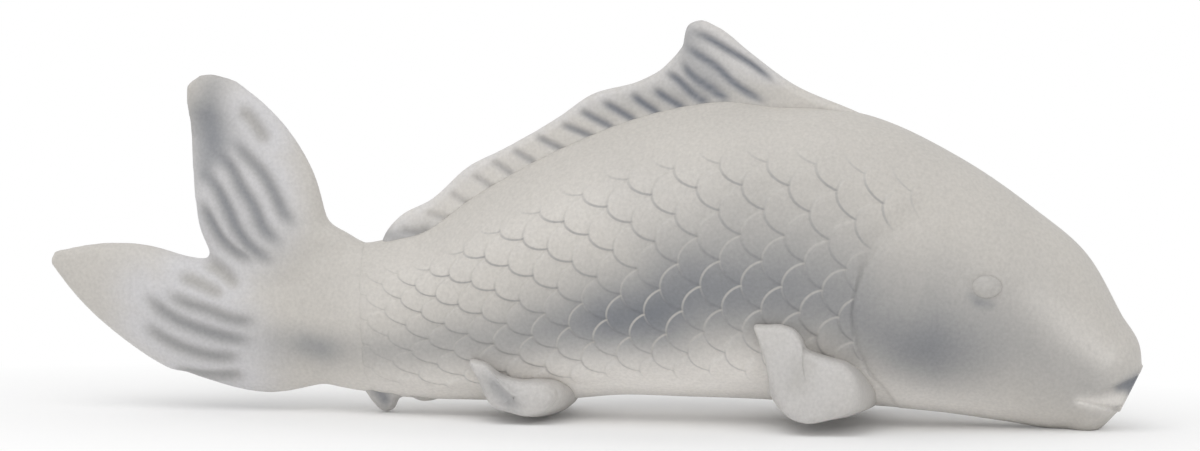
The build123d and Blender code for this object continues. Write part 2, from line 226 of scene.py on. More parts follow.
class FinSizes(bpy.types.PropertyGroup):
    """Sizes of the fins and the tail."""

    dorsal_length: length("Dorsal length", "Length of the dorsal fin along the back", 153.8)
    dorsal_height: length("Dorsal height", "Height of the dorsal fin at its peak", 27.3)
    dorsal_base: length("Dorsal base", "Thickness of the dorsal fin above its base", 7.4)
    dorsal_edge: length("Dorsal edge", "Thickness of the dorsal fin at its peak", 3.2)
    dorsal_rise: length("Dorsal rise", "How far the back rises to the dorsal fin", 2.4)
    dorsal_run: length("Dorsal run", "How far out the back's rise to the dorsal fin reaches", 3.2)
    dorsal_front: turn("Dorsal front", "Angle of the dorsal fin's front on the back's arc", 76.5)
    dorsal_furrow_width: length("Dorsal furrow width", "Half the width of a furrow in the dorsal fin", 1.25)
    dorsal_furrow_depth: length("Dorsal furrow depth", "Depth of a furrow in the dorsal fin", 1.0)
    tail_furrow_width: length("Tail furrow width", "Half the width of a furrow in the tail", 2.2)
    tail_furrow_depth: length("Tail furrow depth", "Depth of a furrow in the tail", 1.4)
    upper_length: length("Upper lobe length", "Length of the tail's upper lobe", 65.0)
    upper_chord: length("Upper lobe chord", "Chord of the tail's upper lobe", 40.0)
    upper_thickness: length("Upper lobe thickness", "Thickness of the tail's upper lobe", 16.4)
    upper_angle: turn("Upper lobe angle", "Angle that the tail's upper lobe climbs at", 111)
    upper_curl: length("Upper lobe curl", "How far the upper lobe's tip curls to the left", 4.0)
    lower_length: length("Lower lobe length", "Length of the tail's lower lobe", 87.4)
    lower_chord: length("Lower lobe chord", "Chord of the tail's lower lobe", 41.5)
    lower_thickness: length("Lower lobe thickness", "Thickness of the tail's lower lobe", 18.6)
    lower_angle: turn("Lower lobe angle", "Angle that the tail's lower lobe climbs at", 168)
    lower_curl: length("Lower lobe curl", "How far the lower lobe's tip curls to the left", -4.0)
    pectoral_length: length("Pectoral length", "Length of a pectoral fin", 34.8)
    pectoral_height: length("Pectoral height", "Height of a pectoral fin", 30.3)
    pectoral_reach: length("Pectoral reach", "How far a pectoral fin reaches to its side", 36.6)
    pectoral_lean: turn("Pectoral lean", "How much a pectoral fin leans in at its top", 7)
    pelvic_length: length("Pelvic length", "Length of a pelvic fin", 30.4)
    pelvic_height: length("Pelvic height", "Height of a pelvic fin", 16.1)
    pelvic_reach: length("Pelvic reach", "How far a pelvic fin reaches to its side", 26.0)
    pelvic_lean: turn("Pelvic lean", "How much a pelvic fin leans in at its top", 8)
    anal_length: length("Anal fin length", "Length of the anal fin", 29.0)
    anal_height: length("Anal fin height", "Height of the anal fin", 12.3)
    anal_thickness: length("Anal fin thickness", "Thickness of the anal fin", 9.0)


class GlassColours(bpy.types.PropertyGroup):
    """Colours of the etched glass, and of the painted shade and painted light laid on it."""

    pale: colour("Pale", "Back and flanks, where the glass scatters most light", 201, 197, 191)
    # Painted shade on the flank, cheek, eyes, fins and tail, and painted shadow under the scales' edges
    deep: colour("Deep", "Thick glass low on the flank and on the cheek", 116, 120, 127)
    # A painted highlight on the crests beside furrows
    crest: colour("Crest", "Crests between furrows", 214, 214, 219)
    # Painted shade in the bottoms of furrows
    furrow: colour("Furrow", "Bottoms of furrows", 122, 126, 135)
    # Painted light: from below on the belly, throat and tail, and on the flank, snout, gape and fins
    belly: colour("Belly", "Belly and under the tail, lit from below", 245, 241, 236)


class StudioSettings(bpy.types.PropertyGroup):
    """The floor, the lamps and the camera."""

    floor: colour("Floor", "Colour of the floor", 252, 252, 252)
    lamp_power: share("Lamp power", "Power of the large lamp above", 3.7)
    fill_power: share("Fill power", "Power of the lamp beside the camera", 1.0)
    sky_level: share("Sky level", "Level of the even light from all round", 0.735)
    azimuth: turn("Azimuth", "Angle of the camera round the figurine from its right side", 8)
    elevation: turn("Elevation", "Angle of the camera above the floor", 5)
    roll: turn("Roll", "Tilt of the camera about its own line of sight", 0.25)
    distance: length("Distance", "From the camera to the point that it looks at", 1350)
    aim_side: length("Aim to the side", "How far to the right of the middle the camera aims", 2.3)
    aim_height: length("Aim height", "Height above the floor that the camera aims at", 57.9)
    focal_length: share("Focal length", "In millimetres on a 36 mm frame", 134.6)


def heading(angle):
    """Directions in the middle plane, as (along, up), that climb by angles in degrees."""
    turns = np.radians(angle)
    return np.stack([np.cos(turns), np.sin(turns)], -1)


def upright(angle):
    """Directions a quarter turn above those that climb by angles in degrees."""
    return heading(angle + 90)


def full_turn(count):
    """Angles evenly spaced round a full turn."""
    return np.linspace(0, 2 * pi, count, endpoint=False)


def ramp(values, start, end):
    """How far values have come from a start to an end, held to 0 to 1 and eased at both."""
    held = np.clip((values - start) / (end - start), 0, 1)
    return held * held * (3 - 2 * held)


def body_place(sizes, shares):
    """Side-view places, in metres, at shares along and up the body."""
    shares = np.asarray(shares, float)
    return np.stack([sizes.tail_root + shares[..., 0] * sizes.length, shares[..., 1] * sizes.height], -1)


def fin_box(fins, kind):
    """The length and height of a fin's box."""
    return getattr(fins, kind + "_length"), getattr(fins, kind + "_height")


def fin_place(sizes, corner_shares, shares, box):
    """Side-view places at shares of a fin's box, whose corner lies at shares of the body."""
    return body_place(sizes, corner_shares) + np.asarray(shares, float) * box


def through(knots, rows, places):
    """The rows of a table read at places between its knots, along a smooth curve."""
    knots, rows, places = np.asarray(knots, float), np.asarray(rows, float), np.asarray(places, float)
    slopes = np.gradient(rows, knots, axis=0)
    step = np.clip(np.searchsorted(knots, places, side="right") - 1, 0, len(knots) - 2)
    span = (knots[step + 1] - knots[step])[:, None]
    part = (places - knots[step])[:, None] / span
    low = (1 + 2 * part) * (1 - part) ** 2 * rows[step] + part * (1 - part) ** 2 * span * slopes[step]
    high = part**2 * (3 - 2 * part) * rows[step + 1] - part**2 * (1 - part) * span * slopes[step + 1]
    return low + high


def in_space(places, across):
    """Points at side-view places and places across the fish, none of them below the floor."""
    return np.stack([places[..., 0], across, np.maximum(places[..., 1], 0)], -1)


def travel(points):
    """The distance gone at each point of a path."""
    steps = np.linalg.norm(np.diff(points, axis=0), axis=1)
    return np.concatenate([[0.0], np.cumsum(steps)])


# How many points a closed path repeats at each end, so that it runs smoothly through where it closes
closing_points = 3


def smooth_path(points, count, closed=False):
    """Evenly spaced places on a smooth curve through points."""
    points = np.asarray(points, float)
    if not closed:
        gone = travel(points)
        return through(gone, points, np.linspace(0.0, gone[-1], count))
    wrapped = np.concatenate([points[-closing_points:], points, points[:closing_points]])
    gone = travel(wrapped)
    first, last = gone[closing_points], gone[closing_points + len(points)]
    return through(gone, wrapped, np.linspace(first, last, count, endpoint=False))


def near_path(places, path):
    """How far each side-view place lies from a path, how far along the path, and on which side."""
    nearest = np.full(len(places), np.inf)
    along = np.zeros(len(places))
    side = np.zeros(len(places))
    for number, (start, end) in enumerate(zip(path[:-1], path[1:])):
        run = end - start
        part = np.clip((places - start) @ run / (run @ run), 0, 1)
        gap = places - start - part[:, None] * run
        distance = np.hypot(gap[:, 0], gap[:, 1])
        closer = distance < nearest
        nearest[closer] = distance[closer]
        along[closer] = (number + part[closer]) / (len(path) - 1)
        side[closer] = np.sign(run[0] * gap[closer, 1] - run[1] * gap[closer, 0])
    return nearest, along, side


def soft_patch(places, strokes):
    """How strongly soft strokes cover side-view places, from 0 to 1."""
    uncovered = np.ones(len(places))
    for stroke in strokes:
        table = np.asarray(stroke, float)
        distance, along, _ = near_path(places / mm, table[:, :2])
        steps = range(len(table))
        radius = np.interp(along * (len(table) - 1), steps, table[:, 2])
        strength = np.interp(along * (len(table) - 1), steps, table[:, 3])
        uncovered *= 1 - strength * np.exp(-((distance / radius) ** 2))
    return 1 - uncovered


def placed(name, data):
    """A new object in the scene."""
    made = bpy.data.objects.new(name, data)
    bpy.context.scene.collection.objects.link(made)
    return made


def shell(name, rings):
    """A closed mesh through rings of points, with one more point in the middle of each end ring."""
    rows, columns = rings.shape[:2]
    points = rings.reshape(-1, 3)
    row = np.arange(rows - 1)[:, None] * columns
    column = np.arange(columns)
    beside = (column + 1) % columns
    sides = np.stack([row + column, row + beside, row + columns + beside, row + columns + column], -1)
    faces = sides.reshape(-1, 4).tolist()
    start, end = len(points), len(points) + 1
    last_row = (rows - 1) * columns
    for here, there in zip(column.tolist(), beside.tolist()):
        faces.append((there, here, start))
        faces.append((last_row + here, last_row + there, end))
    mesh = bpy.data.meshes.new(name)
    middles = rings[0].mean(axis=0), rings[-1].mean(axis=0)
    mesh.from_pydata(np.concatenate([points, middles]).tolist(), [], faces)
    mesh.update()
    if enclosed_volume(mesh) < 0:
        mesh.flip_normals()
    return placed(name, mesh)


def vertex_places(mesh):
    """The places of a mesh's vertices."""
    flat = np.zeros(len(mesh.vertices) * 3)
    mesh.vertices.foreach_get("co", flat)
    return flat.reshape(-1, 3)


def side_places(piece):
    """The places of a piece's vertices in the side view."""
    return vertex_places(piece.data)[:, (0, 2)]


def enclosed_volume(mesh):
    """A measure of the volume that a closed mesh holds, below zero where its faces point inwards."""
    mesh.calc_loop_triangles()
    corners = np.zeros(len(mesh.loop_triangles) * 3, np.int64)
    mesh.loop_triangles.foreach_get("vertices", corners)
    a, b, c = vertex_places(mesh)[corners].reshape(-1, 3, 3).transpose(1, 0, 2)
    return float((a * np.cross(b, c)).sum())


def give(piece, **numbers):
    """Stores numbers at the vertices of a piece, each one alike all over or given vertex by vertex."""
    for name, values in numbers.items():
        attribute = piece.data.attributes.get(name) or piece.data.attributes.new(name, "FLOAT", "POINT")
        held = np.broadcast_to(values, len(piece.data.vertices)).astype(np.float32)
        attribute.data.foreach_set("value", held)


def mirrored(piece, name):
    """A copy of a piece on the fish's other side."""
    mesh = piece.data.copy()
    mesh.transform(Matrix.Scale(-1, 4, (0, 1, 0)))
    mesh.flip_normals()
    return placed(name, mesh)


def finish(piece, *nodes):
    """A finished piece stands for its nodes and rides on the figurine."""
    piece.data.shade_smooth()
    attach(piece, "root")
    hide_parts(*nodes)


class Sums:
    """Wires sums into a node tree, alike in a material and in Geometry Nodes."""

    def __init__(self, tree):
        self.tree = tree

    def feed(self, made, feeds):
        """Links or sets a node's inputs, each given by its name or place."""
        for place, value in feeds.items():
            if isinstance(value, bpy.types.NodeSocket):
                self.tree.links.new(value, made.inputs[place])
            else:
                made.inputs[place].default_value = value

    def node(self, kind, feeds=None, **settings):
        """A new node with its settings and its inputs."""
        made = self.tree.nodes.new(kind)
        for name, value in settings.items():
            setattr(made, name, value)
        self.feed(made, feeds or {})
        return made

    def __call__(self, operation, *values, clamp=False):
        """One sum on numbers or outputs."""
        feeds = dict(enumerate(values))
        return self.node("ShaderNodeMath", feeds, operation=operation, use_clamp=clamp).outputs[0]

    def product(self, first, *others):
        """Numbers or outputs multiplied together."""
        for other in others:
            first = self("MULTIPLY", first, other)
        return first

    def scaled(self, vector, factor):
        """A vector or colour times a number."""
        feeds = {0: vector, "Scale": factor}
        return self.node("ShaderNodeVectorMath", feeds, operation="SCALE").outputs[0]

    def mix(self, share_of_second, first, second):
        """A colour between two colours."""
        made = self.node("ShaderNodeMix", data_type="RGBA")
        places = {entry.identifier: place for place, entry in enumerate(made.inputs)}
        self.feed(made, {
            places["Factor_Float"]: share_of_second,
            places["A_Color"]: first,
            places["B_Color"]: second,
        })
        return next(entry for entry in made.outputs if entry.identifier == "Result_Color")


# How far a scale reaches from its middle, in columns along the body and in rows round it, how crisp its
# edge is, and how fast its edge's line turns from the upper kind to the lower one across the scale
scale_reach = 1.45
scale_spread = 0.53
scale_edge_sharpness = 5.0
scale_line_turn = 0.8
# The scales that can cover a place, as steps from its own column, the foremost one last and on top
covering_steps = (2, 1, 0, -1)


def scale_heights(sums, column, row):
    """The carved height of overlapping scales, then the lower and upper lines of their edges, for painted
    shadow and painted highlight.
    """
    height, line, lower_line = 0.0, 0.0, 0.0
    for step in covering_steps:
        middle = sums("ADD", sums("FLOOR", column), step)
        stagger = sums("MULTIPLY", sums("FLOORED_MODULO", middle, 2.0), 0.5)
        row_middle = sums("ADD", sums("ROUND", sums("SUBTRACT", row, stagger)), stagger)
        along = sums("DIVIDE", sums("SUBTRACT", column, middle), scale_reach)
        across = sums("DIVIDE", sums("SUBTRACT", row, row_middle), scale_spread)
        radius = sums("ADD", sums("MULTIPLY", along, along), sums("MULTIPLY", across, across))
        inside = sums("MULTIPLY", sums("SUBTRACT", 1.0, radius), scale_edge_sharpness, clamp=True)
        tilt = sums("MULTIPLY_ADD", along, 0.5, 0.5)
        change = sums("MULTIPLY", sums("SUBTRACT", tilt, height), inside)
        height = sums("ADD", height, change)
        outside = sums("SUBTRACT", 1.0, inside)
        at_edge = sums.product(inside, outside, 4.0)
        line = sums("ADD", sums("MULTIPLY", line, outside), at_edge)
        lower_part = sums("MULTIPLY_ADD", across, scale_line_turn, 0.5, clamp=True)
        lower_line = sums("MULTIPLY_ADD", lower_line, outside, sums("MULTIPLY", at_edge, lower_part))
    return height, lower_line, sums("SUBTRACT", line, lower_line)


def geometry_tree(name, **inputs):
    """A Geometry Nodes tree with named inputs of given kinds: the tree, its sums and its input sockets."""
    tree = bpy.data.node_groups.new(name, "GeometryNodeTree")
    for entry, kind in {"Geometry": "Geometry", **inputs}.items():
        tree.interface.new_socket(entry, in_out="INPUT", socket_type="NodeSocket" + kind)
    tree.interface.new_socket("Geometry", in_out="OUTPUT", socket_type="NodeSocketGeometry")
    sums = Sums(tree)
    return tree, sums, sums.node("NodeGroupInput").outputs


def close_tree(sums, geometry, material):
    """Ends a tree with real geometry in one material."""
    real = sums.node("GeometryNodeRealizeInstances", {0: geometry}).outputs[0]
    painted = sums.node("GeometryNodeSetMaterial", {"Geometry": real, "Material": material}).outputs[0]
    sums.node("NodeGroupOutput", {0: painted})


def named_number(sums, name):
    """A number stored at each vertex, inside a Geometry Nodes tree."""
    made = sums.node("GeometryNodeInputNamedAttribute", {"Name": name}, data_type="FLOAT")
    return made.outputs["Attribute"]


def raised(sums, geometry, height):
    """The geometry moved along its own normals by a height."""
    offset = sums.scaled(sums.node("GeometryNodeInputNormal").outputs[0], height)
    return sums.node("GeometryNodeSetPosition", {"Geometry": geometry, "Offset": offset}).outputs[0]


def stored(sums, geometry, name, value):
    """The geometry with a number stored at each vertex."""
    feeds = {"Geometry": geometry, "Name": name, "Value": value}
    made = sums.node("GeometryNodeStoreNamedAttribute", feeds, data_type="FLOAT", domain="POINT")
    return made.outputs[0]


def scale_tree():
    """Carves overlapping scales into a skin that stores their columns, rows and fade."""
    tree, sums, given = geometry_tree("carved_scales", Rise="Float", Glass="Material")
    column, row, fade = (named_number(sums, name) for name in ("scale_column", "scale_row", "scale_fade"))
    height, _, _ = scale_heights(sums, column, row)
    rise = sums.product(height, fade, given["Rise"])
    close_tree(sums, raised(sums, given["Geometry"], rise), given["Glass"])
    return tree


# How slowly the light beside a furrow fades with distance, against the furrow itself
beside_furrow_share = 0.05


def furrow_tree():
    """Presses soft furrows along paths into a fin, and stores how near to one each vertex lies."""
    tree, sums, given = geometry_tree(
        "pressed_furrows", Paths="Object", Width="Float", Depth="Float", Glass="Material"
    )
    paths = sums.node("GeometryNodeObjectInfo", {"Object": given["Paths"]}).outputs["Geometry"]
    place = sums.node("GeometryNodeInputPosition").outputs[0]
    side_view = sums.node("ShaderNodeVectorMath", {0: place, 1: (1, 0, 1)}, operation="MULTIPLY")
    feeds = {"Geometry": paths, "Sample Position": side_view.outputs[0]}
    near = sums.node("GeometryNodeProximity", feeds, target_element="EDGES")
    reach = sums("DIVIDE", near.outputs["Distance"], given["Width"])
    reach_squared = sums("MULTIPLY", reach, reach)
    press = sums("EXPONENT", sums("MULTIPLY", reach_squared, -1.0))
    beside = sums("EXPONENT", sums("MULTIPLY", reach_squared, -beside_furrow_share))
    kept = stored(sums, given["Geometry"], "furrow", press)
    kept = stored(sums, kept, "beside_furrow", beside)
    close_tree(sums, raised(sums, kept, sums.product(press, given["Depth"], -1.0)), given["Glass"])
    return tree


def carve(piece, tree, **inputs):
    """Runs a tree on a piece and keeps the result as the piece's plain mesh."""
    modifier = piece.modifiers.new(tree.name, "NODES")
    modifier.node_group = tree
    for entry in tree.interface.items_tree:
        if entry.item_type == "SOCKET" and entry.in_out == "INPUT" and entry.name in inputs:
            modifier[entry.identifier] = inputs[entry.name]
    settle(piece)


def settle(piece):
    """Keeps what a piece's modifiers make as its plain mesh."""
    piece.update_tag()
    bpy.context.view_layer.update()
    evaluated = piece.evaluated_get(bpy.context.evaluated_depsgraph_get())
    mesh = bpy.data.meshes.new_from_object(evaluated)
    mesh.name = piece.name
    piece.modifiers.clear()
    piece.data = mesh


# How far, in furrow widths, a path's ends leave the middle plane, and how suddenly they do
furrow_end_reach = 1.8
furrow_end_power = 4


def path_lines(name, paths, width):
    """Lines along side-view paths, whose ends leave the middle plane so that furrows fade there."""
    points, lines = [], []
    for path in paths:
        first = len(points)
        aside = furrow_end_reach * width * np.linspace(-1, 1, len(path)) ** furrow_end_power
        points += [(along, away, up) for (along, up), away in zip(path, aside)]
        lines += [(first + step, first + step + 1) for step in range(len(path) - 1)]
    mesh = bpy.data.meshes.new(name)
    mesh.from_pydata(points, lines, [])
    return placed(name, mesh)


def press_furrows(piece, paths, path_points, width, depth, glass):
    """Presses furrows into a piece along smooth side-view paths of so many points each."""
    smooth = [smooth_path(path, path_points) for path in paths]
    guide = path_lines(piece.name + "_paths", smooth, width)
    carve(piece, furrow_tree(), Paths=guide, Width=width, Depth=depth, Glass=glass)
    bpy.data.objects.remove(guide)


def new_material(name):
    """A material with nodes: the material, its sums, its main shader and places on the piece."""
    material = bpy.data.materials.new(name)
    material.use_nodes = True
    sums = Sums(material.node_tree)
    places = sums.node("ShaderNodeTexCoord").outputs["Object"]
    return material, sums, material.node_tree.nodes["Principled BSDF"], places


# The frosting's fine grain and the soft clouds in the glass, how much each changes the colour, the
# least roughness and what the grain adds to it, how strongly the painted highlight and the painted
# shadow along the scales' edges show, and the fine relief that the grain and the scales add in the shading
grain_scale = 1000.0
grain_detail = 3.0
cloud_scale = 45.0
cloud_detail = 2.0
cloud_share = 0.16
speckle_share = 0.30
least_roughness = 0.40
grain_roughness = 0.14
rim_highlight_share = 0.9
rim_shadow_share = 0.45
grain_relief = 0.03 * mm
scale_relief = 0.8 * mm


def etched_glass(name, colours, scaled=False, furrowed=False):
    """Satin-etched cast glass: soft scattering, a fine frosted grain, and painted shade and painted light.
    """
    material, sums, glass, places = new_material(name)
    pale, deep = (*colours.pale, 1), (*colours.deep, 1)

    def noise(scale, detail):
        feeds = {"Vector": places, "Scale": scale, "Detail": detail}
        return sums.node("ShaderNodeTexNoise", feeds).outputs["Fac"]

    def kept(number):
        return sums.node("ShaderNodeAttribute", attribute_name=number).outputs["Fac"]

    grain = noise(grain_scale, grain_detail)
    shade = kept("shade")
    clouds = sums("MULTIPLY_ADD", noise(cloud_scale, cloud_detail), cloud_share, -cloud_share / 2)
    # Painted shade, varied by random clouds in the glass, then painted light
    tone = sums.mix(sums("ADD", shade, clouds, clamp=True), pale, deep)
    tone = sums.mix(kept("belly"), tone, (*colours.belly, 1))
    height = sums("MULTIPLY", grain, grain_relief)
    if scaled:
        carved, lower_line, upper_line = scale_heights(sums, kept("scale_column"), kept("scale_row"))
        fade = kept("scale_fade")
        # Painted shadow on the lower part of each scale's edge outside the painted shade, and a painted
        # highlight on the upper part inside it
        painted_rim_shadow = sums.product(lower_line, fade, sums("SUBTRACT", 1.0, shade), rim_shadow_share)
        tone = sums.mix(painted_rim_shadow, tone, deep)
        tone = sums.mix(sums.product(upper_line, fade, shade, rim_highlight_share), tone, pale)
        height = sums("ADD", height, sums.product(carved, fade, scale_relief))
    if furrowed:
        # A painted highlight on the crests beside each furrow, and painted shade in the furrow
        furrow = kept("furrow")
        beside = sums("SUBTRACT", kept("beside_furrow"), furrow)
        crest = sums("MULTIPLY", beside, kept("crest"), clamp=True)
        tone = sums.mix(crest, tone, (*colours.crest, 1))
        tone = sums.mix(sums("MULTIPLY", furrow, kept("furrow_shade")), tone, (*colours.furrow, 1))
    speckle = sums("MULTIPLY_ADD", grain, speckle_share, 1 - speckle_share / 2)
    bump = sums.node("ShaderNodeBump", {"Strength": 0.8, "Distance": 1.0, "Height": height})
    sums.feed(glass, {
        "Base Color": sums.scaled(tone, speckle),
        "Roughness": sums("MULTIPLY_ADD", grain, grain_roughness, least_roughness),
        "IOR": 1.5,
        "Specular IOR Level": 0.35,
        "Subsurface Weight": 0.25,
        "Subsurface Radius": (1.0, 1.0, 1.1),
        "Subsurface Scale": 2.5 * mm,
        "Normal": bump.outputs[0],
    })
    return material


# Soft strokes of painted shade on the body and head: the band low on the flank, the flank above it, the
# cheek, a shadow under the eye and the inside of the gape. Then strokes of painted light: from below on
# the belly and throat, on the gape's floor, on the flank and down the snout. Each has places along and up
# and a radius, in millimetres, and a strength
body_shade_strokes = (
    (
        (-81, 20, 5, 0.60), (-72, 20, 6, 0.30), (-59, 20, 6, 0.35), (-41, 23, 8, 0.38),
        (-23, 25, 9, 0.50), (-12, 28, 10, 0.60), (-3, 29, 11, 0.72), (8, 32, 12, 0.90),
        (22, 34, 14, 0.95), (34, 42, 15, 0.82), (50, 42, 16, 0.75), (60, 42, 16, 0.72),
        (76, 38, 14, 0.60), (86, 31, 13, 0.60), (96, 26, 14, 0.72), (105, 25, 15, 0.76),
        (114, 25, 14, 0.60), (128, 25, 13, 0.36), (143, 19, 11, 0.30), (151, 15, 9, 0.28),
    ),
    ((20, 62, 16, 0.10), (50, 60, 18, 0.18), (74, 56, 14, 0.18)),
    ((88, 44, 14, 0.20), (104, 42, 14, 0.26), (122, 38, 14, 0.22)),
    ((115.6, 41.4, 1.4, 0.30), (117.6, 39.6, 1.7, 0.50), (121.0, 38.8, 1.5, 0.35)),
    ((158.5, 13.0, 1.6, 0.9), (163.5, 15.0, 2.4, 0.9)),
    ((161.0, 13.0, 2.0, 0.9), (162.0, 9.5, 1.2, 0.6)),
)
painted_light_strokes = (
    ((-92, 4, 5, 0.2), (-60, 6, 8, 0.55), (-20, 8, 10, 0.9), (0, 9, 12, 1.0), (50, 10, 12, 1.0)),
    ((50, 10, 12, 1.0), (85, 8, 10, 1.0), (96, 6, 8, 1.0), (120, 0, 9, 0.9), (140, -2, 6, 0.5)),
    ((147, 9.5, 1.5, 0.6), (158, 9.0, 3.0, 0.6)),
    ((-66, 36, 9, 0.18), (-30, 52, 10, 0.18), (0, 64, 11, 0.22), (32, 70, 10, 0.12)),
    ((134, 41, 5, 0.12), (145, 31, 5, 0.24), (154, 23, 4, 0.30)),
)

# How finely the skin is divided along and round, with more points on the flanks than on back and belly,
# and how the throat narrows to its back
body_rows = 380
body_columns = 236
rim_rows = 9
throat_rows = 12
cap_rows = 6
flank_crowding_share = 0.35
throat_narrowing_share = 0.9
throat_narrowing_power = 3
# How far, and over what share of its length, the skin draws in under the tail, and its end cap's run
tail_dive = 1.3 * mm
tail_dive_share = 0.09
body_cap_run = 8 * mm
# Sections that the eye and the scales are measured from, and the fullest of them
section_count = 200
fullest_section = 80


def body_rings(sizes, row_count, first_share=0.0):
    """Rings of the skin from a share of the way from lips to tail: centre, climb and half sizes."""
    table = np.asarray(station_shares)
    centres = body_place(sizes, table[:, :2])
    gone = travel(centres)
    rows = np.column_stack([
        centres, station_climbs, table[:, 2] * sizes.height / 2, table[:, 3] * sizes.width / 2,
    ])
    return through(gone, rows, np.linspace(first_share, 1.0, row_count) * gone[-1])


def ring_points(rings, turns):
    """Points round rings of centre along, centre up, climb, half height and half width."""
    upwards = upright(rings[:, 2])
    lift = rings[:, 3, None] * np.sin(turns)
    along = rings[:, 0, None] + upwards[:, 0, None] * lift
    up = rings[:, 1, None] + upwards[:, 1, None] * lift
    across = rings[:, 4, None] * np.cos(turns) * np.ones_like(lift)
    return np.stack([along, across, up], -1)


def crowded_turns(columns):
    """Angles round a ring from the back, crowded on the flanks."""
    even = full_turn(columns) + pi / 2
    return even - flank_crowding_share * np.sin(2 * even) / 2


def capped(rings, rows, reach):
    """Rings that close the end of a run of rings with a round cap."""
    last = rings[-1]
    turns = np.linspace(0, pi / 2, rows + 1)[1:-1]
    cap = np.repeat(last[None, :], len(turns), axis=0)
    direction = heading(last[2])
    step = np.sign((last[:2] - rings[-2, :2]) @ direction)
    cap[:, :2] += step * direction * reach * np.sin(turns)[:, None]
    cap[:, 3:] *= np.cos(turns)[:, None]
    return np.concatenate([rings, cap])


def mouth_rings(sizes, lips):
    """Rings from the back of the throat to the lips' rim."""
    forward = heading(lips[2])
    turns = np.linspace(pi, 0, rim_rows + 1)[:-1]
    rim = np.repeat(lips[None, :], len(turns), axis=0)
    rim[:, :2] += forward * (sizes.lip_round * np.sin(turns))[:, None]
    rim[:, 3:] -= (sizes.lip_round * (1 - np.cos(turns)))[:, None]
    depths = np.linspace(1, 0, throat_rows + 1)[:-1]
    throat = np.repeat(rim[:1], len(depths), axis=0)
    throat[:, :2] -= forward * (sizes.throat_depth * depths)[:, None]
    throat[:, 3:] *= (1 - depths**throat_narrowing_power * throat_narrowing_share)[:, None]
    return np.concatenate([throat, rim])


# The gill cover's edge comes up between the first two shares of the body's height and sinks away
# between the next two. It steps up over a short run to both sides of its line, and the scales come up
# behind it over a run that is wider at the nape
gill_foot_shares = (0.02, 0.14)
gill_head_shares = (0.74, 0.49)
gill_edge_points = 60
gill_step = 0.5 * mm
scale_start_run = 1.2 * mm
nape_start_run = 6 * mm
nape_shares = (0.5, 0.7)


def gill_relief(sizes, places):
    """How far the gill cover stands up at side-view places, and where the scales lie behind its edge."""
    edge = smooth_path(body_place(sizes, gill_edge_shares), gill_edge_points)
    distance, _, side = near_path(places, edge)
    ahead = distance * side
    up = places[:, 1] / sizes.height
    strength = ramp(up, *gill_head_shares) * ramp(up, *gill_foot_shares)
    step = ramp(ahead, -gill_step, gill_step) * ramp(ahead, sizes.gill_run, 0)
    start_run = scale_start_run + nape_start_run * ramp(up, *nape_shares)
    return sizes.gill_rise * strength * step, ramp(-ahead, 0, start_run)


# How far the gape's walls reach out of it and into it, and how they draw in from its corner to its front
gape_wall = (-0.09 * mm, 0.81 * mm)
gape_corner_share = 0.06
gape_front_share = 0.48
gape_power = 1.5


def gape_narrowing(sizes, places):
    """The share by which the skin draws in at side-view places between the lips."""
    corner, upper, lower = body_place(sizes, (gape_corner_shares, upper_lip_shares, lower_lip_shares))
    upper_run, lower_run = upper - corner, lower - corner
    ahead, above = (places - corner).T
    below_upper = (upper_run[1] * ahead - upper_run[0] * above) / np.hypot(*upper_run)
    above_lower = (lower_run[0] * above - lower_run[1] * ahead) / np.hypot(*lower_run)
    front = ramp(ahead, 0, upper_run[0])
    walls = ramp(np.minimum(below_upper, above_lower), *gape_wall)
    return walls * (gape_corner_share + gape_front_share * front**gape_power)


# The lid round the eye: its rise, and its middle and width as shares of the eye's radius. Then how deep
# the eye's dome is rooted in the skin, how finely it is divided, and how many points of each section are
# searched for its place
lid_rise = 0.2 * mm
lid_middle_share = 1.15
lid_width_share = 0.30
eye_root_depth = 2 * mm
eye_rows = 16
eye_columns = 48
eye_search_points = 120


def eye_frame(sizes):
    """The eye's middle in the side view and its place across, on the skin."""
    middle = body_place(sizes, eye_shares)
    right_side = np.linspace(0.5 * pi, 1.5 * pi, eye_search_points)
    points = ring_points(body_rings(sizes, section_count), right_side).reshape(-1, 3)
    nearest = np.argmin(np.hypot(points[:, 0] - middle[0], points[:, 2] - middle[1]))
    return middle, points[nearest, 1]


def lid_relief(sizes, places):
    """How far the lid stands up round the eye."""
    middle, _ = eye_frame(sizes)
    span = (places - middle) / (sizes.eye_length / 2, sizes.eye_height / 2)
    from_lid = (np.hypot(*span.T) - lid_middle_share) / lid_width_share
    return lid_rise * np.exp(-(from_lid**2))


def circle_through(first, second, third):
    """The centre and radius of the circle through three side-view points."""
    rows = 2 * np.array([second - first, third - first])
    centre = np.linalg.solve(rows, [second @ second - first @ first, third @ third - first @ first])
    return centre, np.hypot(*(first - centre))


def back_arc(sizes):
    """The arc that the dorsal fin follows along the back."""
    tops = []
    for station in back_stations:
        shares = station_shares[station]
        middle = body_place(sizes, shares[:2])
        tops.append(middle + upright(station_climbs[station]) * shares[2] * sizes.height / 2)
    return circle_through(*tops)


def dorsal_place(sizes, fins, shares):
    """Side-view places at shares of the dorsal fin's length and height."""
    centre, radius = back_arc(sizes)
    angle = np.degrees(fins.dorsal_front + shares[..., 0] * fins.dorsal_length / radius)
    return centre + heading(angle) * (radius + shares[..., 1, None] * fins.dorsal_height)


# The back rises to the dorsal fin and sinks away again between these shares of the fin's length, and
# only above these shares of the body's height
ridge_front_shares = (0.16, 0.30)
ridge_rear_shares = (1.01, 0.96)
ridge_height_shares = (0.25, 0.375)


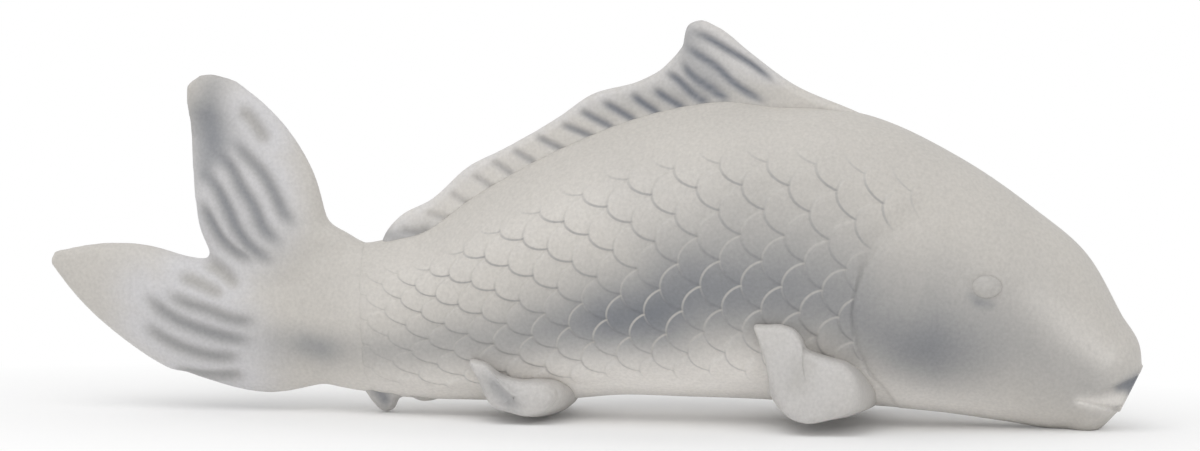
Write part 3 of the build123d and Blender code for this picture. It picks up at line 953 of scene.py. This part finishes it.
def dorsal_ridge(sizes, fins, places, across):
    """How far the skin rises, along the back, to meet the sides of the dorsal fin."""
    centre, radius = back_arc(sizes)
    from_centre = places - centre
    angle = np.arctan2(from_centre[:, 1], from_centre[:, 0])
    share_of_fin = (angle - fins.dorsal_front) * radius / fins.dorsal_length
    ends = ramp(share_of_fin, *ridge_front_shares) * ramp(share_of_fin, *ridge_rear_shares)
    above = ramp(places[:, 1] / sizes.height, *ridge_height_shares)
    beside = np.maximum(np.abs(across) - fins.dorsal_base / 2, 0)
    return fins.dorsal_rise * ends * above * np.exp(-beside / fins.dorsal_run)


# Keeps a direction without a length from being divided by nothing
least_length = 1e-9


def outward_directions(rings, points):
    """Directions straight out of the skin at points round its rings."""
    middles = np.column_stack([rings[:, 0], np.zeros(len(rings)), rings[:, 1]])
    outwards = points - middles[:, None]
    outwards[..., 1] *= ((rings[:, 3] / rings[:, 4]) ** 2)[:, None]
    return outwards / np.maximum(np.linalg.norm(outwards, axis=-1, keepdims=True), least_length)


# Scales come up between the first two shares of the way from back to belly, fade between the next two,
# and come up ahead of the tail root between these distances
scale_back_shares = (0.17, 0.31)
scale_belly_shares = (0.86, 0.76)
scale_tail_run = (4 * mm, 38 * mm)


def scale_lattice(sizes, rings):
    """The scales' column and row at each point of the skin, and the share of the way from back to
    underside.
    """
    section = body_rings(sizes, section_count)[fullest_section : fullest_section + 1]
    fullest = ring_points(section, crowded_turns(body_columns))[0]
    girth = travel(np.concatenate([fullest, fullest[:1]]))
    from_back = np.minimum(girth[:-1], girth[-1] - girth[:-1])
    columns = travel(rings[:, :2]) / (sizes.scale_length / 2) + sizes.scale_shift
    rows, down = from_back / sizes.scale_row, from_back / (girth[-1] / 2)
    return np.repeat(columns, body_columns), np.tile(rows, len(rings)), np.tile(down, len(rings))


class CARP_OT_body(bpy.types.Operator):
    """Builds the body and head as one skin, with its gill covers, gape and carved scales"""

    bl_idname = "carp.body"
    bl_label = "Body and head"

    def execute(self, context):
        sizes, fins = context.scene.carp_body, context.scene.carp_fins
        outside = body_rings(sizes, body_rows)
        from_root = (outside[:, 0] - sizes.tail_root) / sizes.length
        outside[:, 3:] -= (tail_dive * ramp(from_root, tail_dive_share, 0))[:, None]
        outside = capped(outside, cap_rows, body_cap_run)
        rings = np.concatenate([mouth_rings(sizes, outside[0]), outside])
        points = ring_points(rings, crowded_turns(body_columns))
        grid = points.shape[:2]
        places = points[..., (0, 2)].reshape(-1, 2)
        on_skin = np.repeat(np.arange(len(rings)) >= rim_rows + throat_rows, body_columns)

        cover, behind_gill = gill_relief(sizes, places)
        ridge = dorsal_ridge(sizes, fins, places, points[..., 1].reshape(-1))
        relief = (cover + lid_relief(sizes, places) + ridge) * on_skin
        shaped = points + outward_directions(rings, points) * relief.reshape(*grid, 1)
        shaped[..., 1] *= 1 - gape_narrowing(sizes, places).reshape(grid)
        shaped[..., 2] = np.maximum(shaped[..., 2], 0)
        piece = shell("body_skin", shaped)

        column, row, down = scale_lattice(sizes, rings)
        fade = ramp(down, *scale_back_shares) * ramp(down, *scale_belly_shares) * behind_gill
        fade *= ramp(places[:, 0] - sizes.tail_root, *scale_tail_run) * on_skin
        # The scales' lattice, then the skin's painted shade and painted light
        numbers = {
            "scale_column": column,
            "scale_row": row,
            "scale_fade": fade,
            "shade": soft_patch(places, body_shade_strokes),
            "belly": soft_patch(places, painted_light_strokes),
        }
        # The two middle points that close the skin take none of these
        give(piece, **{name: np.append(values, (0, 0)) for name, values in numbers.items()})
        glass = etched_glass("etched_glass_scaled", context.scene.carp_colours, scaled=True)
        carve(piece, scale_tree(), Rise=sizes.scale_rise, Glass=glass)
        finish(piece, "trunk", "head", "right_gill_cover", "left_gill_cover")
        return {"FINISHED"}


class CARP_OT_eyes(bpy.types.Operator):
    """Builds the two low domes of the eyes"""

    bl_idname = "carp.eyes"
    bl_label = "Eyes"

    def execute(self, context):
        sizes = context.scene.carp_body
        middle, side = eye_frame(sizes)
        glass = etched_glass("etched_glass_eye", context.scene.carp_colours)
        tilts = np.linspace(0, pi / 2, eye_rows)[1:, None]
        turns = full_turn(eye_columns)
        along = middle[0] + sizes.eye_length / 2 * np.sin(tilts) * np.cos(turns)
        up = middle[1] + sizes.eye_height / 2 * np.sin(tilts) * np.sin(turns)
        rise = (sizes.eye_bulge + eye_root_depth) * np.cos(tilts)
        across = side + eye_root_depth - rise * np.ones_like(along)
        eye = shell("right_eye_dome", np.stack([along, across, up], -1))
        # An even painted shade over the eye
        give(eye, shade=0.25)
        eye.data.materials.append(glass)
        twin = mirrored(eye, "left_eye_dome")
        finish(eye, "right_eye")
        finish(twin, "left_eye")
        return {"FINISHED"}


# How finely the dorsal fin is divided, how deep it is rooted as a share of its height, and over what
# run its edge and over what share of its length its ends are rounded
dorsal_columns = 420
dorsal_rows = 26
dorsal_root_share = -0.30
dorsal_row_power = 1.5
dorsal_edge_round = 2.4 * mm
dorsal_end_share = 0.008
dorsal_furrow_points = 24
# Strokes of painted shade on the dorsal fin, as on the body. The runs, in millimetres, are the heights
# above the back at which the painted highlight on the crests and the painted shade in the furrows come
# up, and the places along the fish between which the painted shade in the furrows darkens
dorsal_shade_strokes = (
    ((28, 116, 5, 0.60), (31, 108, 6, 0.50), (40, 100, 6, 0.30), (54, 98, 5, 0.10)),
    ((2, 92, 4, 0.20), (16, 96, 5, 0.35), (34, 100, 6, 0.45)),
    ((-64, 54, 3, 0.85), (-56, 54, 3, 0.75), (-48, 57, 3, 0.4)),
)
dorsal_highlight_run = (5, 11)
dorsal_furrow_run = (-1, 2)
dorsal_forward_run = (-60, 20)
# How strong the painted highlight on the crests is, the painted shade in the furrows from rear to front,
# and the painted light from rear to front
dorsal_highlight_share = 0.42
dorsal_rear_furrow_share = 0.15
dorsal_front_furrow_share = 0.80
dorsal_forward_power = 1.5
dorsal_rear_light = 0.30
dorsal_front_light = 0.10


def rounded(gap, run):
    """How full a section is at a gap from its edge, where the edge is rounded over a run."""
    return np.sqrt(1 - (1 - np.clip(gap / run, 0, 1)) ** 2)


class CARP_OT_dorsal_fin(bpy.types.Operator):
    """Builds the dorsal fin as a rayed blade that stands in the back"""

    bl_idname = "carp.dorsal_fin"
    bl_label = "Dorsal fin"

    def execute(self, context):
        sizes, fins = context.scene.carp_body, context.scene.carp_fins
        box = np.array(fin_box(fins, "dorsal"))
        edge = smooth_path(np.asarray(dorsal_edge_shares) * box, dorsal_columns) / box
        climb = 1 - (1 - np.linspace(0, 1, dorsal_rows)) ** dorsal_row_power
        top = edge[:, 1, None]
        rise = dorsal_root_share + (top - dorsal_root_share) * climb
        shares = np.stack([np.repeat(edge[:, :1], dorsal_rows, axis=1), rise], -1)
        places = dorsal_place(sizes, fins, shares)
        taper = np.clip(rise, 0, 1)
        from_front = np.linspace(0, 1, dorsal_columns)[:, None]
        half = (fins.dorsal_base * (1 - taper) + fins.dorsal_edge * taper) / 2
        half = half * rounded((top - rise) * fins.dorsal_height, dorsal_edge_round)
        half = half * rounded(np.minimum(from_front, 1 - from_front), dorsal_end_share)
        right, left = in_space(places, -half), in_space(places, half)[:, ::-1]
        piece = shell("dorsal_blade", np.concatenate([right, left[:, 1:-1]], axis=1))

        side_view = side_places(piece)
        centre, radius = back_arc(sizes)
        height = (np.hypot(*(side_view - centre).T) - radius) / mm
        forward = ramp(side_view[:, 0] / mm, *dorsal_forward_run)
        shade = soft_patch(side_view, dorsal_shade_strokes)
        furrow_shade = dorsal_rear_furrow_share
        furrow_shade = furrow_shade + dorsal_front_furrow_share * forward**dorsal_forward_power
        # Painted shade and painted light, a painted highlight on the crests and painted shade in the
        # furrows
        give(
            piece,
            shade=shade,
            crest=dorsal_highlight_share * ramp(height, *dorsal_highlight_run) * (1 - shade),
            furrow_shade=furrow_shade * ramp(height, *dorsal_furrow_run),
            belly=dorsal_rear_light + (dorsal_front_light - dorsal_rear_light) * forward,
        )
        paths = [body_place(sizes, shares) for shares in dorsal_furrow_shares]
        width, depth = fins.dorsal_furrow_width, fins.dorsal_furrow_depth
        glass = etched_glass("etched_glass_dorsal", context.scene.carp_colours, furrowed=True)
        press_furrows(piece, paths, dorsal_furrow_points, width, depth, glass)
        finish(piece, "dorsal_fin")
        return {"FINISHED"}


# How finely a tail lobe is divided along and round
lobe_rows = 60
lobe_columns = 56


def tail_lobe(sizes, fins, kind, root_shares, table):
    """One lobe of the tail, from its root to its tip."""
    table = np.asarray(table)
    along, across, chords, thicknesses, leans = through(table[:, 0], table, np.linspace(0, 1, lobe_rows)).T
    climb = np.degrees(getattr(fins, kind + "_angle"))
    middle = along[:, None] * heading(climb) + across[:, None] * upright(climb)
    middle = body_place(sizes, root_shares) + middle * getattr(fins, kind + "_length")
    turns = full_turn(lobe_columns)
    reach = chords[:, None] * getattr(fins, kind + "_chord") / 2 * np.sin(turns)
    places = middle[:, None] + upright(climb + leans)[:, None] * reach[..., None]
    half = thicknesses[:, None] * getattr(fins, kind + "_thickness") / 2
    across_fish = half * np.cos(turns) + getattr(fins, kind + "_curl") * along[:, None] ** 2
    return shell("tail_" + kind, in_space(places, across_fish))


# The lump that fills the corner above the tail root: its middle on the body, its half sizes along,
# across and up, how much it falls along its length, and how finely it is divided
fillet_middle_shares = (0.008, 0.590)
fillet_half_sizes = (12 * mm, 6 * mm, 5 * mm)
fillet_fall = 0.38
fillet_rows = 18
fillet_columns = 32


def tail_fillet(sizes):
    """A rounded lump, long along the fish, that fills the corner above the tail root."""
    middle = body_place(sizes, fillet_middle_shares)
    tilts = np.linspace(0, pi, fillet_rows)[1:-1, None]
    turns = full_turn(fillet_columns)
    half_length, half_width, half_height = fillet_half_sizes
    ahead = half_length * np.cos(tilts) * np.ones_like(turns)
    across = half_width * np.sin(tilts) * np.cos(turns)
    above = half_height * np.sin(tilts) * np.sin(turns) - fillet_fall * ahead
    return shell("tail_fillet", np.stack([middle[0] + ahead, across, middle[1] + above], -1))


# The stub of the body inside the tail: where it starts, how it is divided and capped, and how far it
# draws in between two shares of the body's length to lie under the skin
stub_first_share = 0.80
stub_rows = 60
stub_columns = 72
stub_cap_rows = 8
stub_cap_run = 8 * mm
stub_dive = 1.6 * mm
stub_dive_shares = (0.02, 0.13)


def tail_stub(sizes):
    """The end of the body, for the tail's lobes to grow out of."""
    stub = body_rings(sizes, stub_rows, stub_first_share)
    from_root = (stub[:, 0] - sizes.tail_root) / sizes.length
    stub[:, 3:] -= (stub_dive * ramp(from_root, *stub_dive_shares))[:, None]
    stub = capped(stub, stub_cap_rows, stub_cap_run)
    return shell("tail_root", ring_points(stub, full_turn(stub_columns)))


# The tail's voxels, how often it is smoothed where its parts meet and then all over, and where they meet
tail_voxel = 0.75 * mm
melting_rounds = 140
polishing_rounds = 4
tail_melting_strokes = (
    ((-98, 50, 12, 0.8), (-83, 57, 9, 1.0), (-70, 52, 8, 0.8)),
    ((-84, 40, 12, 0.8), (-84, 20, 12, 0.8)),
    ((-124, 45, 5, 0.8), (-112, 47, 6, 0.9)),
)


def grown_together(piece, others):
    """Makes a piece and others into one skin, with soft hollows where they meet."""
    for other in others:
        join(piece, other)
    remesh = piece.modifiers.new("grown_together", "REMESH")
    remesh.mode = "VOXEL"
    remesh.voxel_size = tail_voxel
    settle(piece)
    group = piece.vertex_groups.new(name="soft")
    for index, weight in enumerate(soft_patch(side_places(piece), tail_melting_strokes)):
        group.add([index], float(weight), "REPLACE")
    melt = piece.modifiers.new("melted", "SMOOTH")
    melt.vertex_group = "soft"
    melt.iterations = melting_rounds
    polish = piece.modifiers.new("polished", "SMOOTH")
    polish.iterations = polishing_rounds
    settle(piece)
    piece.vertex_groups.clear()


# Strokes of painted shade on the tail, and strokes where the painted shade in its furrows is faint, as on
# the body
tail_shade_strokes = (
    ((-117, 97, 6, 0.5), (-118, 90, 8, 0.80), (-116, 82, 8, 0.80), (-119, 72, 4, 0.6)),
    ((-110, 62, 8, 0.25), (-98, 52, 8, 0.2)),
    ((-130, 28, 7, 0.15), (-110, 22, 8, 0.25), (-96, 21, 7, 0.35)),
    ((-94, 21, 5, 0.1), (-87, 21, 5, 0.55), (-81, 20, 5, 0.60), (-72, 20, 6, 0.3)),
)
tail_faint_strokes = (
    ((-108, 92, 6, 0.6), (-100, 83, 6, 0.5)),
    ((-122, 44, 6, 0.6), (-109, 37, 6, 0.5)),
)
# Where the tail's rays spread from, and runs in millimetres: distances from there over which the painted
# highlight on the crests and the painted shade in the furrows come up, a distance behind the tail root,
# and heights between the lower lobe and the upper one
ray_root_shares = (-0.01, 0.40)
tail_highlight_run = (8, 28)
tail_furrow_run = (4, 20)
tail_rearward_run = (0, 14)
lobe_height_run = (40, 52)
# The strength of the painted highlight on the crests, then of the painted shade in the lower lobe's furrows
# and the upper lobe's
tail_highlight_share = 0.72
lower_furrow_share = 0.50
upper_furrow_share = 0.68
tail_furrow_points = 16


class CARP_OT_tail(bpy.types.Operator):
    """Builds the two tail lobes grown together with the tail root, and furrows between their rays"""

    bl_idname = "carp.tail"
    bl_label = "Tail"

    def execute(self, context):
        sizes, fins = context.scene.carp_body, context.scene.carp_fins
        tail = tail_lobe(sizes, fins, "upper", upper_lobe_root_shares, upper_lobe_shares)
        lower = tail_lobe(sizes, fins, "lower", lower_lobe_root_shares, lower_lobe_shares)
        tail.name = "tail"
        grown_together(tail, (lower, tail_stub(sizes), tail_fillet(sizes)))

        side_view = side_places(tail)
        away = np.hypot(*(side_view - body_place(sizes, ray_root_shares)).T) / mm
        rearward = ramp((sizes.tail_root - side_view[:, 0]) / mm, *tail_rearward_run)
        upper_part = ramp(side_view[:, 1] / mm, *lobe_height_run)
        shade = soft_patch(side_view, tail_shade_strokes)
        furrow_shade = lower_furrow_share + (upper_furrow_share - lower_furrow_share) * upper_part
        furrow_shade *= 1 - soft_patch(side_view, tail_faint_strokes)
        # Painted shade, painted light from below, a painted highlight on the crests and painted shade in
        # the furrows
        give(
            tail,
            shade=shade,
            belly=soft_patch(side_view, painted_light_strokes),
            crest=tail_highlight_share * ramp(away, *tail_highlight_run) * rearward * (1 - shade),
            furrow_shade=furrow_shade * ramp(away, *tail_furrow_run),
        )
        paths = [body_place(sizes, shares) for shares in tail_furrow_shares]
        width, depth = fins.tail_furrow_width, fins.tail_furrow_depth
        glass = etched_glass("etched_glass_tail", context.scene.carp_colours, furrowed=True)
        press_furrows(tail, paths, tail_furrow_points, width, depth, glass)
        finish(tail, "tail_upper_lobe", "tail_lower_lobe")
        return {"FINISHED"}


def join(piece, other):
    """Adds another object's mesh to a piece and removes that object."""
    places = np.concatenate([vertex_places(piece.data), vertex_places(other.data)])
    shift = len(piece.data.vertices)
    faces = [tuple(face.vertices) for face in piece.data.polygons]
    faces += [tuple(corner + shift for corner in face.vertices) for face in other.data.polygons]
    mesh = bpy.data.meshes.new(piece.name)
    mesh.from_pydata(places.tolist(), [], faces)
    piece.data = mesh
    bpy.data.objects.remove(other)


# A paired fin's face: how far it is crowned, the radius of its edge and how much that grows where the
# edge is soft, how a soft edge slopes and spreads, and what share of its reach the fin is rooted by
fin_crown = 1.0 * mm
fin_edge_round = 2.6 * mm
soft_edge_growth = 0.8
soft_slope_power = 1.8
soft_spread = 4 * mm
fin_root_share = 0.7
fin_points = 180
fin_root_rows = 14
fin_edge_rows = 10
fin_face_rows = 16


def pillow(name, outline, middle, soft, reach, lean):
    """A right fin whose crowned face ends in a rounded edge, or slopes to the body where soft is 1."""
    spread = outline - middle
    size = np.hypot(*spread.T)[:, None]
    edge_round = fin_edge_round * (1 + soft_edge_growth * soft)
    rings = []
    for inward in np.linspace(1, 0, fin_root_rows)[:-1]:
        slope = soft * inward**soft_slope_power + (1 - soft) * inward
        wider = outline + spread / size * soft * soft_spread * inward
        rings.append((wider, edge_round + slope * reach * fin_root_share))
    for angle in np.linspace(0, pi / 2, fin_edge_rows):
        inset = edge_round * (1 - cos(angle))
        rings.append((middle + spread * (1 - inset / size), edge_round * (1 - sin(angle))))
    face_edge = rings[-1][0]
    for part in np.linspace(1, 0, fin_face_rows)[1:-1]:
        crown = -fin_crown * (1 - part**2) * np.ones_like(size)
        rings.append((middle + (face_edge - middle) * part, crown))
    points = []
    for places, depth in rings:
        across = -reach + places[:, 1] * sin(lean) / cos(lean) + depth[:, 0] * cos(lean)
        points.append(in_space(places, across))
    return shell(name, np.array(points))


# Each paired fin's corner, outline, middle, softness and hollow, then the hollow's half width and depth
# in millimetres and how dark the painted shade in it is
paired_fins = {
    "pectoral": (
        pectoral_corner_shares, pectoral_shares, pectoral_middle_shares, pectoral_soft_shares,
        pectoral_valley_shares, 4.0, 0.9, 0.10,
    ),
    "pelvic": (
        pelvic_corner_shares, pelvic_shares, pelvic_middle_shares, pelvic_soft_shares,
        pelvic_hollow_shares, 3.2, 1.5, 0.45,
    ),
}
fin_hollow_points = 16


class CARP_OT_paired_fins(bpy.types.Operator):
    """Builds the pectoral and pelvic fins that the figurine stands on"""

    bl_idname = "carp.paired_fins"
    bl_label = "Pectoral and pelvic fins"

    def execute(self, context):
        sizes, fins = context.scene.carp_body, context.scene.carp_fins
        glass = etched_glass("etched_glass_fin", context.scene.carp_colours, furrowed=True)
        for kind, fin in paired_fins.items():
            corner, outline, middle, softness, hollow, width, depth, hollow_shade = fin
            box = fin_box(fins, kind)
            reach, lean = getattr(fins, kind + "_reach"), getattr(fins, kind + "_lean")
            edge = smooth_path(fin_place(sizes, corner, outline, box), fin_points, closed=True)
            steps = np.linspace(0, len(softness), fin_points, endpoint=False)
            soft = np.interp(steps, range(len(softness) + 1), (*softness, softness[0]))[:, None]
            centre = fin_place(sizes, corner, middle, box)
            piece = pillow("right_" + kind, edge, centre, soft, reach, lean)
            # An even painted shade and painted light, a painted highlight on the crests and painted shade
            # in the hollow
            give(piece, shade=0.22, belly=0.2, crest=0.2, furrow_shade=hollow_shade)
            path = fin_place(sizes, corner, hollow, box)
            press_furrows(piece, [path], fin_hollow_points, width * mm, depth * mm, glass)
            twin = mirrored(piece, "left_" + kind)
            finish(piece, f"right_{kind}_fin")
            finish(twin, f"left_{kind}_fin")
        return {"FINISHED"}


# How finely the anal fin is divided round and across, how full its sides are, and its hollow
anal_points = 160
anal_rows = 26
anal_fullness = 0.5
anal_hollow_points = 12
anal_hollow_width = 2.6 * mm
anal_hollow_depth = 1.2 * mm


class CARP_OT_anal_fin(bpy.types.Operator):
    """Builds the anal fin under the tail root"""

    bl_idname = "carp.anal_fin"
    bl_label = "Anal fin"

    def execute(self, context):
        sizes, fins = context.scene.carp_body, context.scene.carp_fins
        outline, middle, hollow = (
            fin_place(sizes, anal_fin_corner_shares, shares, fin_box(fins, "anal"))
            for shares in (anal_fin_shares, anal_middle_shares, anal_hollow_shares)
        )
        edge = smooth_path(outline, anal_points, closed=True)
        tilts = np.linspace(0, pi, anal_rows)[1:-1, None]
        places = middle + (edge - middle) * np.sin(tilts)[..., None] ** anal_fullness
        across = -np.cos(tilts) * fins.anal_thickness / 2 * np.ones(anal_points)
        piece = shell("anal_fin_web", in_space(places, across))
        # An even painted shade, a painted highlight on the crests and painted shade in the hollow
        give(piece, shade=0.1, crest=0.2, furrow_shade=0.7)
        glass = etched_glass("etched_glass_anal_fin", context.scene.carp_colours, furrowed=True)
        press_furrows(piece, [hollow], anal_hollow_points, anal_hollow_width, anal_hollow_depth, glass)
        finish(piece, "anal_fin")
        return {"FINISHED"}


# The floor's radius in metres, the factors that stretch the zone of its shadow along the fish, and how
# fast it turns white with distance past that zone
floor_radius = 6.0
shadow_zone_factors = (0.45, 1, 1)
white_gain = 12.0
white_start = -0.6


def studio_floor(settings):
    """A pale floor that keeps the figurine's shadow and turns plain white away from it."""
    bpy.ops.mesh.primitive_circle_add(vertices=96, radius=floor_radius, fill_type="NGON")
    floor = bpy.context.object
    floor.name = "studio_floor"
    material, sums, paint, places = new_material("studio_floor_paint")
    sums.feed(paint, {"Base Color": (*settings.floor, 1), "Roughness": 0.9, "Specular IOR Level": 0.1})
    squeezed = sums.node("ShaderNodeVectorMath", {0: places, 1: shadow_zone_factors}, operation="MULTIPLY")
    away = sums.node("ShaderNodeVectorMath", {0: squeezed.outputs[0]}, operation="LENGTH")
    far = sums("MULTIPLY_ADD", away.outputs["Value"], white_gain, white_start, clamp=True)
    seen = sums.node("ShaderNodeLightPath").outputs["Is Camera Ray"]
    glow = sums.node("ShaderNodeEmission").outputs[0]
    white = sums("MULTIPLY", far, seen)
    blend = sums.node("ShaderNodeMixShader", {0: white, 1: paint.outputs[0], 2: glow})
    sums.feed(material.node_tree.nodes["Material Output"], {"Surface": blend.outputs[0]})
    floor.data.materials.append(material)


# The lamps' places and sizes, and the point that both face, in metres
lamp_above_place = (-0.15, -0.45, 1.1)
lamp_above_size = 0.9
lamp_fill_place = (0.5, -1.3, 0.5)
lamp_fill_size = 0.8
lit_point = (0, 0, 0.05)


def lamp(name, place, power, size):
    """A square soft lamp that faces the figurine."""
    light = bpy.data.lights.new(name, "AREA")
    light.energy = power
    light.shape = "SQUARE"
    light.size = size
    stand = placed(name, light)
    stand.location = place
    stand.rotation_euler = (Vector(lit_point) - Vector(place)).to_track_quat("-Z", "Y").to_euler()


class CARP_OT_studio(bpy.types.Operator):
    """Builds the floor, the soft light and the camera"""

    bl_idname = "carp.studio"
    bl_label = "Studio"

    def execute(self, context):
        settings = context.scene.carp_studio
        studio_floor(settings)
        lamp("lamp_above", lamp_above_place, settings.lamp_power, lamp_above_size)
        lamp("lamp_fill", lamp_fill_place, settings.fill_power, lamp_fill_size)
        world = bpy.data.worlds.new("studio_sky")
        world.use_nodes = True
        sums = Sums(world.node_tree)
        seen = sums.node("ShaderNodeLightPath").outputs["Is Camera Ray"]
        level = sums("MAXIMUM", seen, settings.sky_level)
        sums.feed(world.node_tree.nodes["Background"], {"Color": (1, 1, 1, 1), "Strength": level})
        context.scene.world = world

        back = Vector((
            sin(settings.azimuth) * cos(settings.elevation),
            -cos(settings.azimuth) * cos(settings.elevation),
            sin(settings.elevation),
        ))
        aim = Vector((
            settings.aim_side * cos(settings.azimuth),
            settings.aim_side * sin(settings.azimuth),
            settings.aim_height,
        ))
        view = bpy.data.cameras.new("studio_camera")
        view.lens = settings.focal_length
        camera = placed("studio_camera", view)
        camera.location = aim + back * settings.distance
        facing = (-back).to_track_quat("-Z", "Y")
        camera.rotation_euler = (facing.to_matrix() @ Matrix.Rotation(settings.roll, 3, "Z")).to_euler()
        context.scene.camera = camera
        context.scene.view_settings.view_transform = "Standard"
        return {"FINISHED"}


class CARP_PT_sidebar(bpy.types.Panel):
    """Sizes, colours and steps of the glass carp"""

    bl_idname = "CARP_PT_sidebar"
    bl_label = "Glass carp"
    bl_space_type = "VIEW_3D"
    bl_region_type = "UI"
    bl_category = "Glass carp"

    def draw(self, context):
        for name in groups:
            group = getattr(context.scene, name)
            box = self.layout.box()
            for entry in group.__annotations__:
                box.prop(group, entry)
        for step in steps:
            self.layout.operator(step.bl_idname)


# The operators in the order of their calls, and the settings by their names on the scene
steps = (
    CARP_OT_studio,
    CARP_OT_body,
    CARP_OT_eyes,
    CARP_OT_dorsal_fin,
    CARP_OT_tail,
    CARP_OT_paired_fins,
    CARP_OT_anal_fin,
)
groups = {
    "carp_body": BodySizes,
    "carp_fins": FinSizes,
    "carp_colours": GlassColours,
    "carp_studio": StudioSettings,
}


def register():
    """Adds the classes and their settings to Blender."""
    for entry in (*groups.values(), *steps, CARP_PT_sidebar):
        bpy.utils.register_class(entry)
    for name, group in groups.items():
        setattr(bpy.types.Scene, name, PointerProperty(type=group))


def unregister():
    """Takes the classes and their settings out of Blender."""
    for name in groups:
        delattr(bpy.types.Scene, name)
    for entry in (CARP_PT_sidebar, *reversed(steps), *groups.values()):
        bpy.utils.unregister_class(entry)


def main():
    """Builds the figurine and its studio."""
    register()
    bpy.ops.carp.studio()
    bpy.ops.carp.body()
    bpy.ops.carp.eyes()
    bpy.ops.carp.dorsal_fin()
    bpy.ops.carp.tail()
    bpy.ops.carp.paired_fins()
    bpy.ops.carp.anal_fin()


if __name__ == "__main__":
    main()
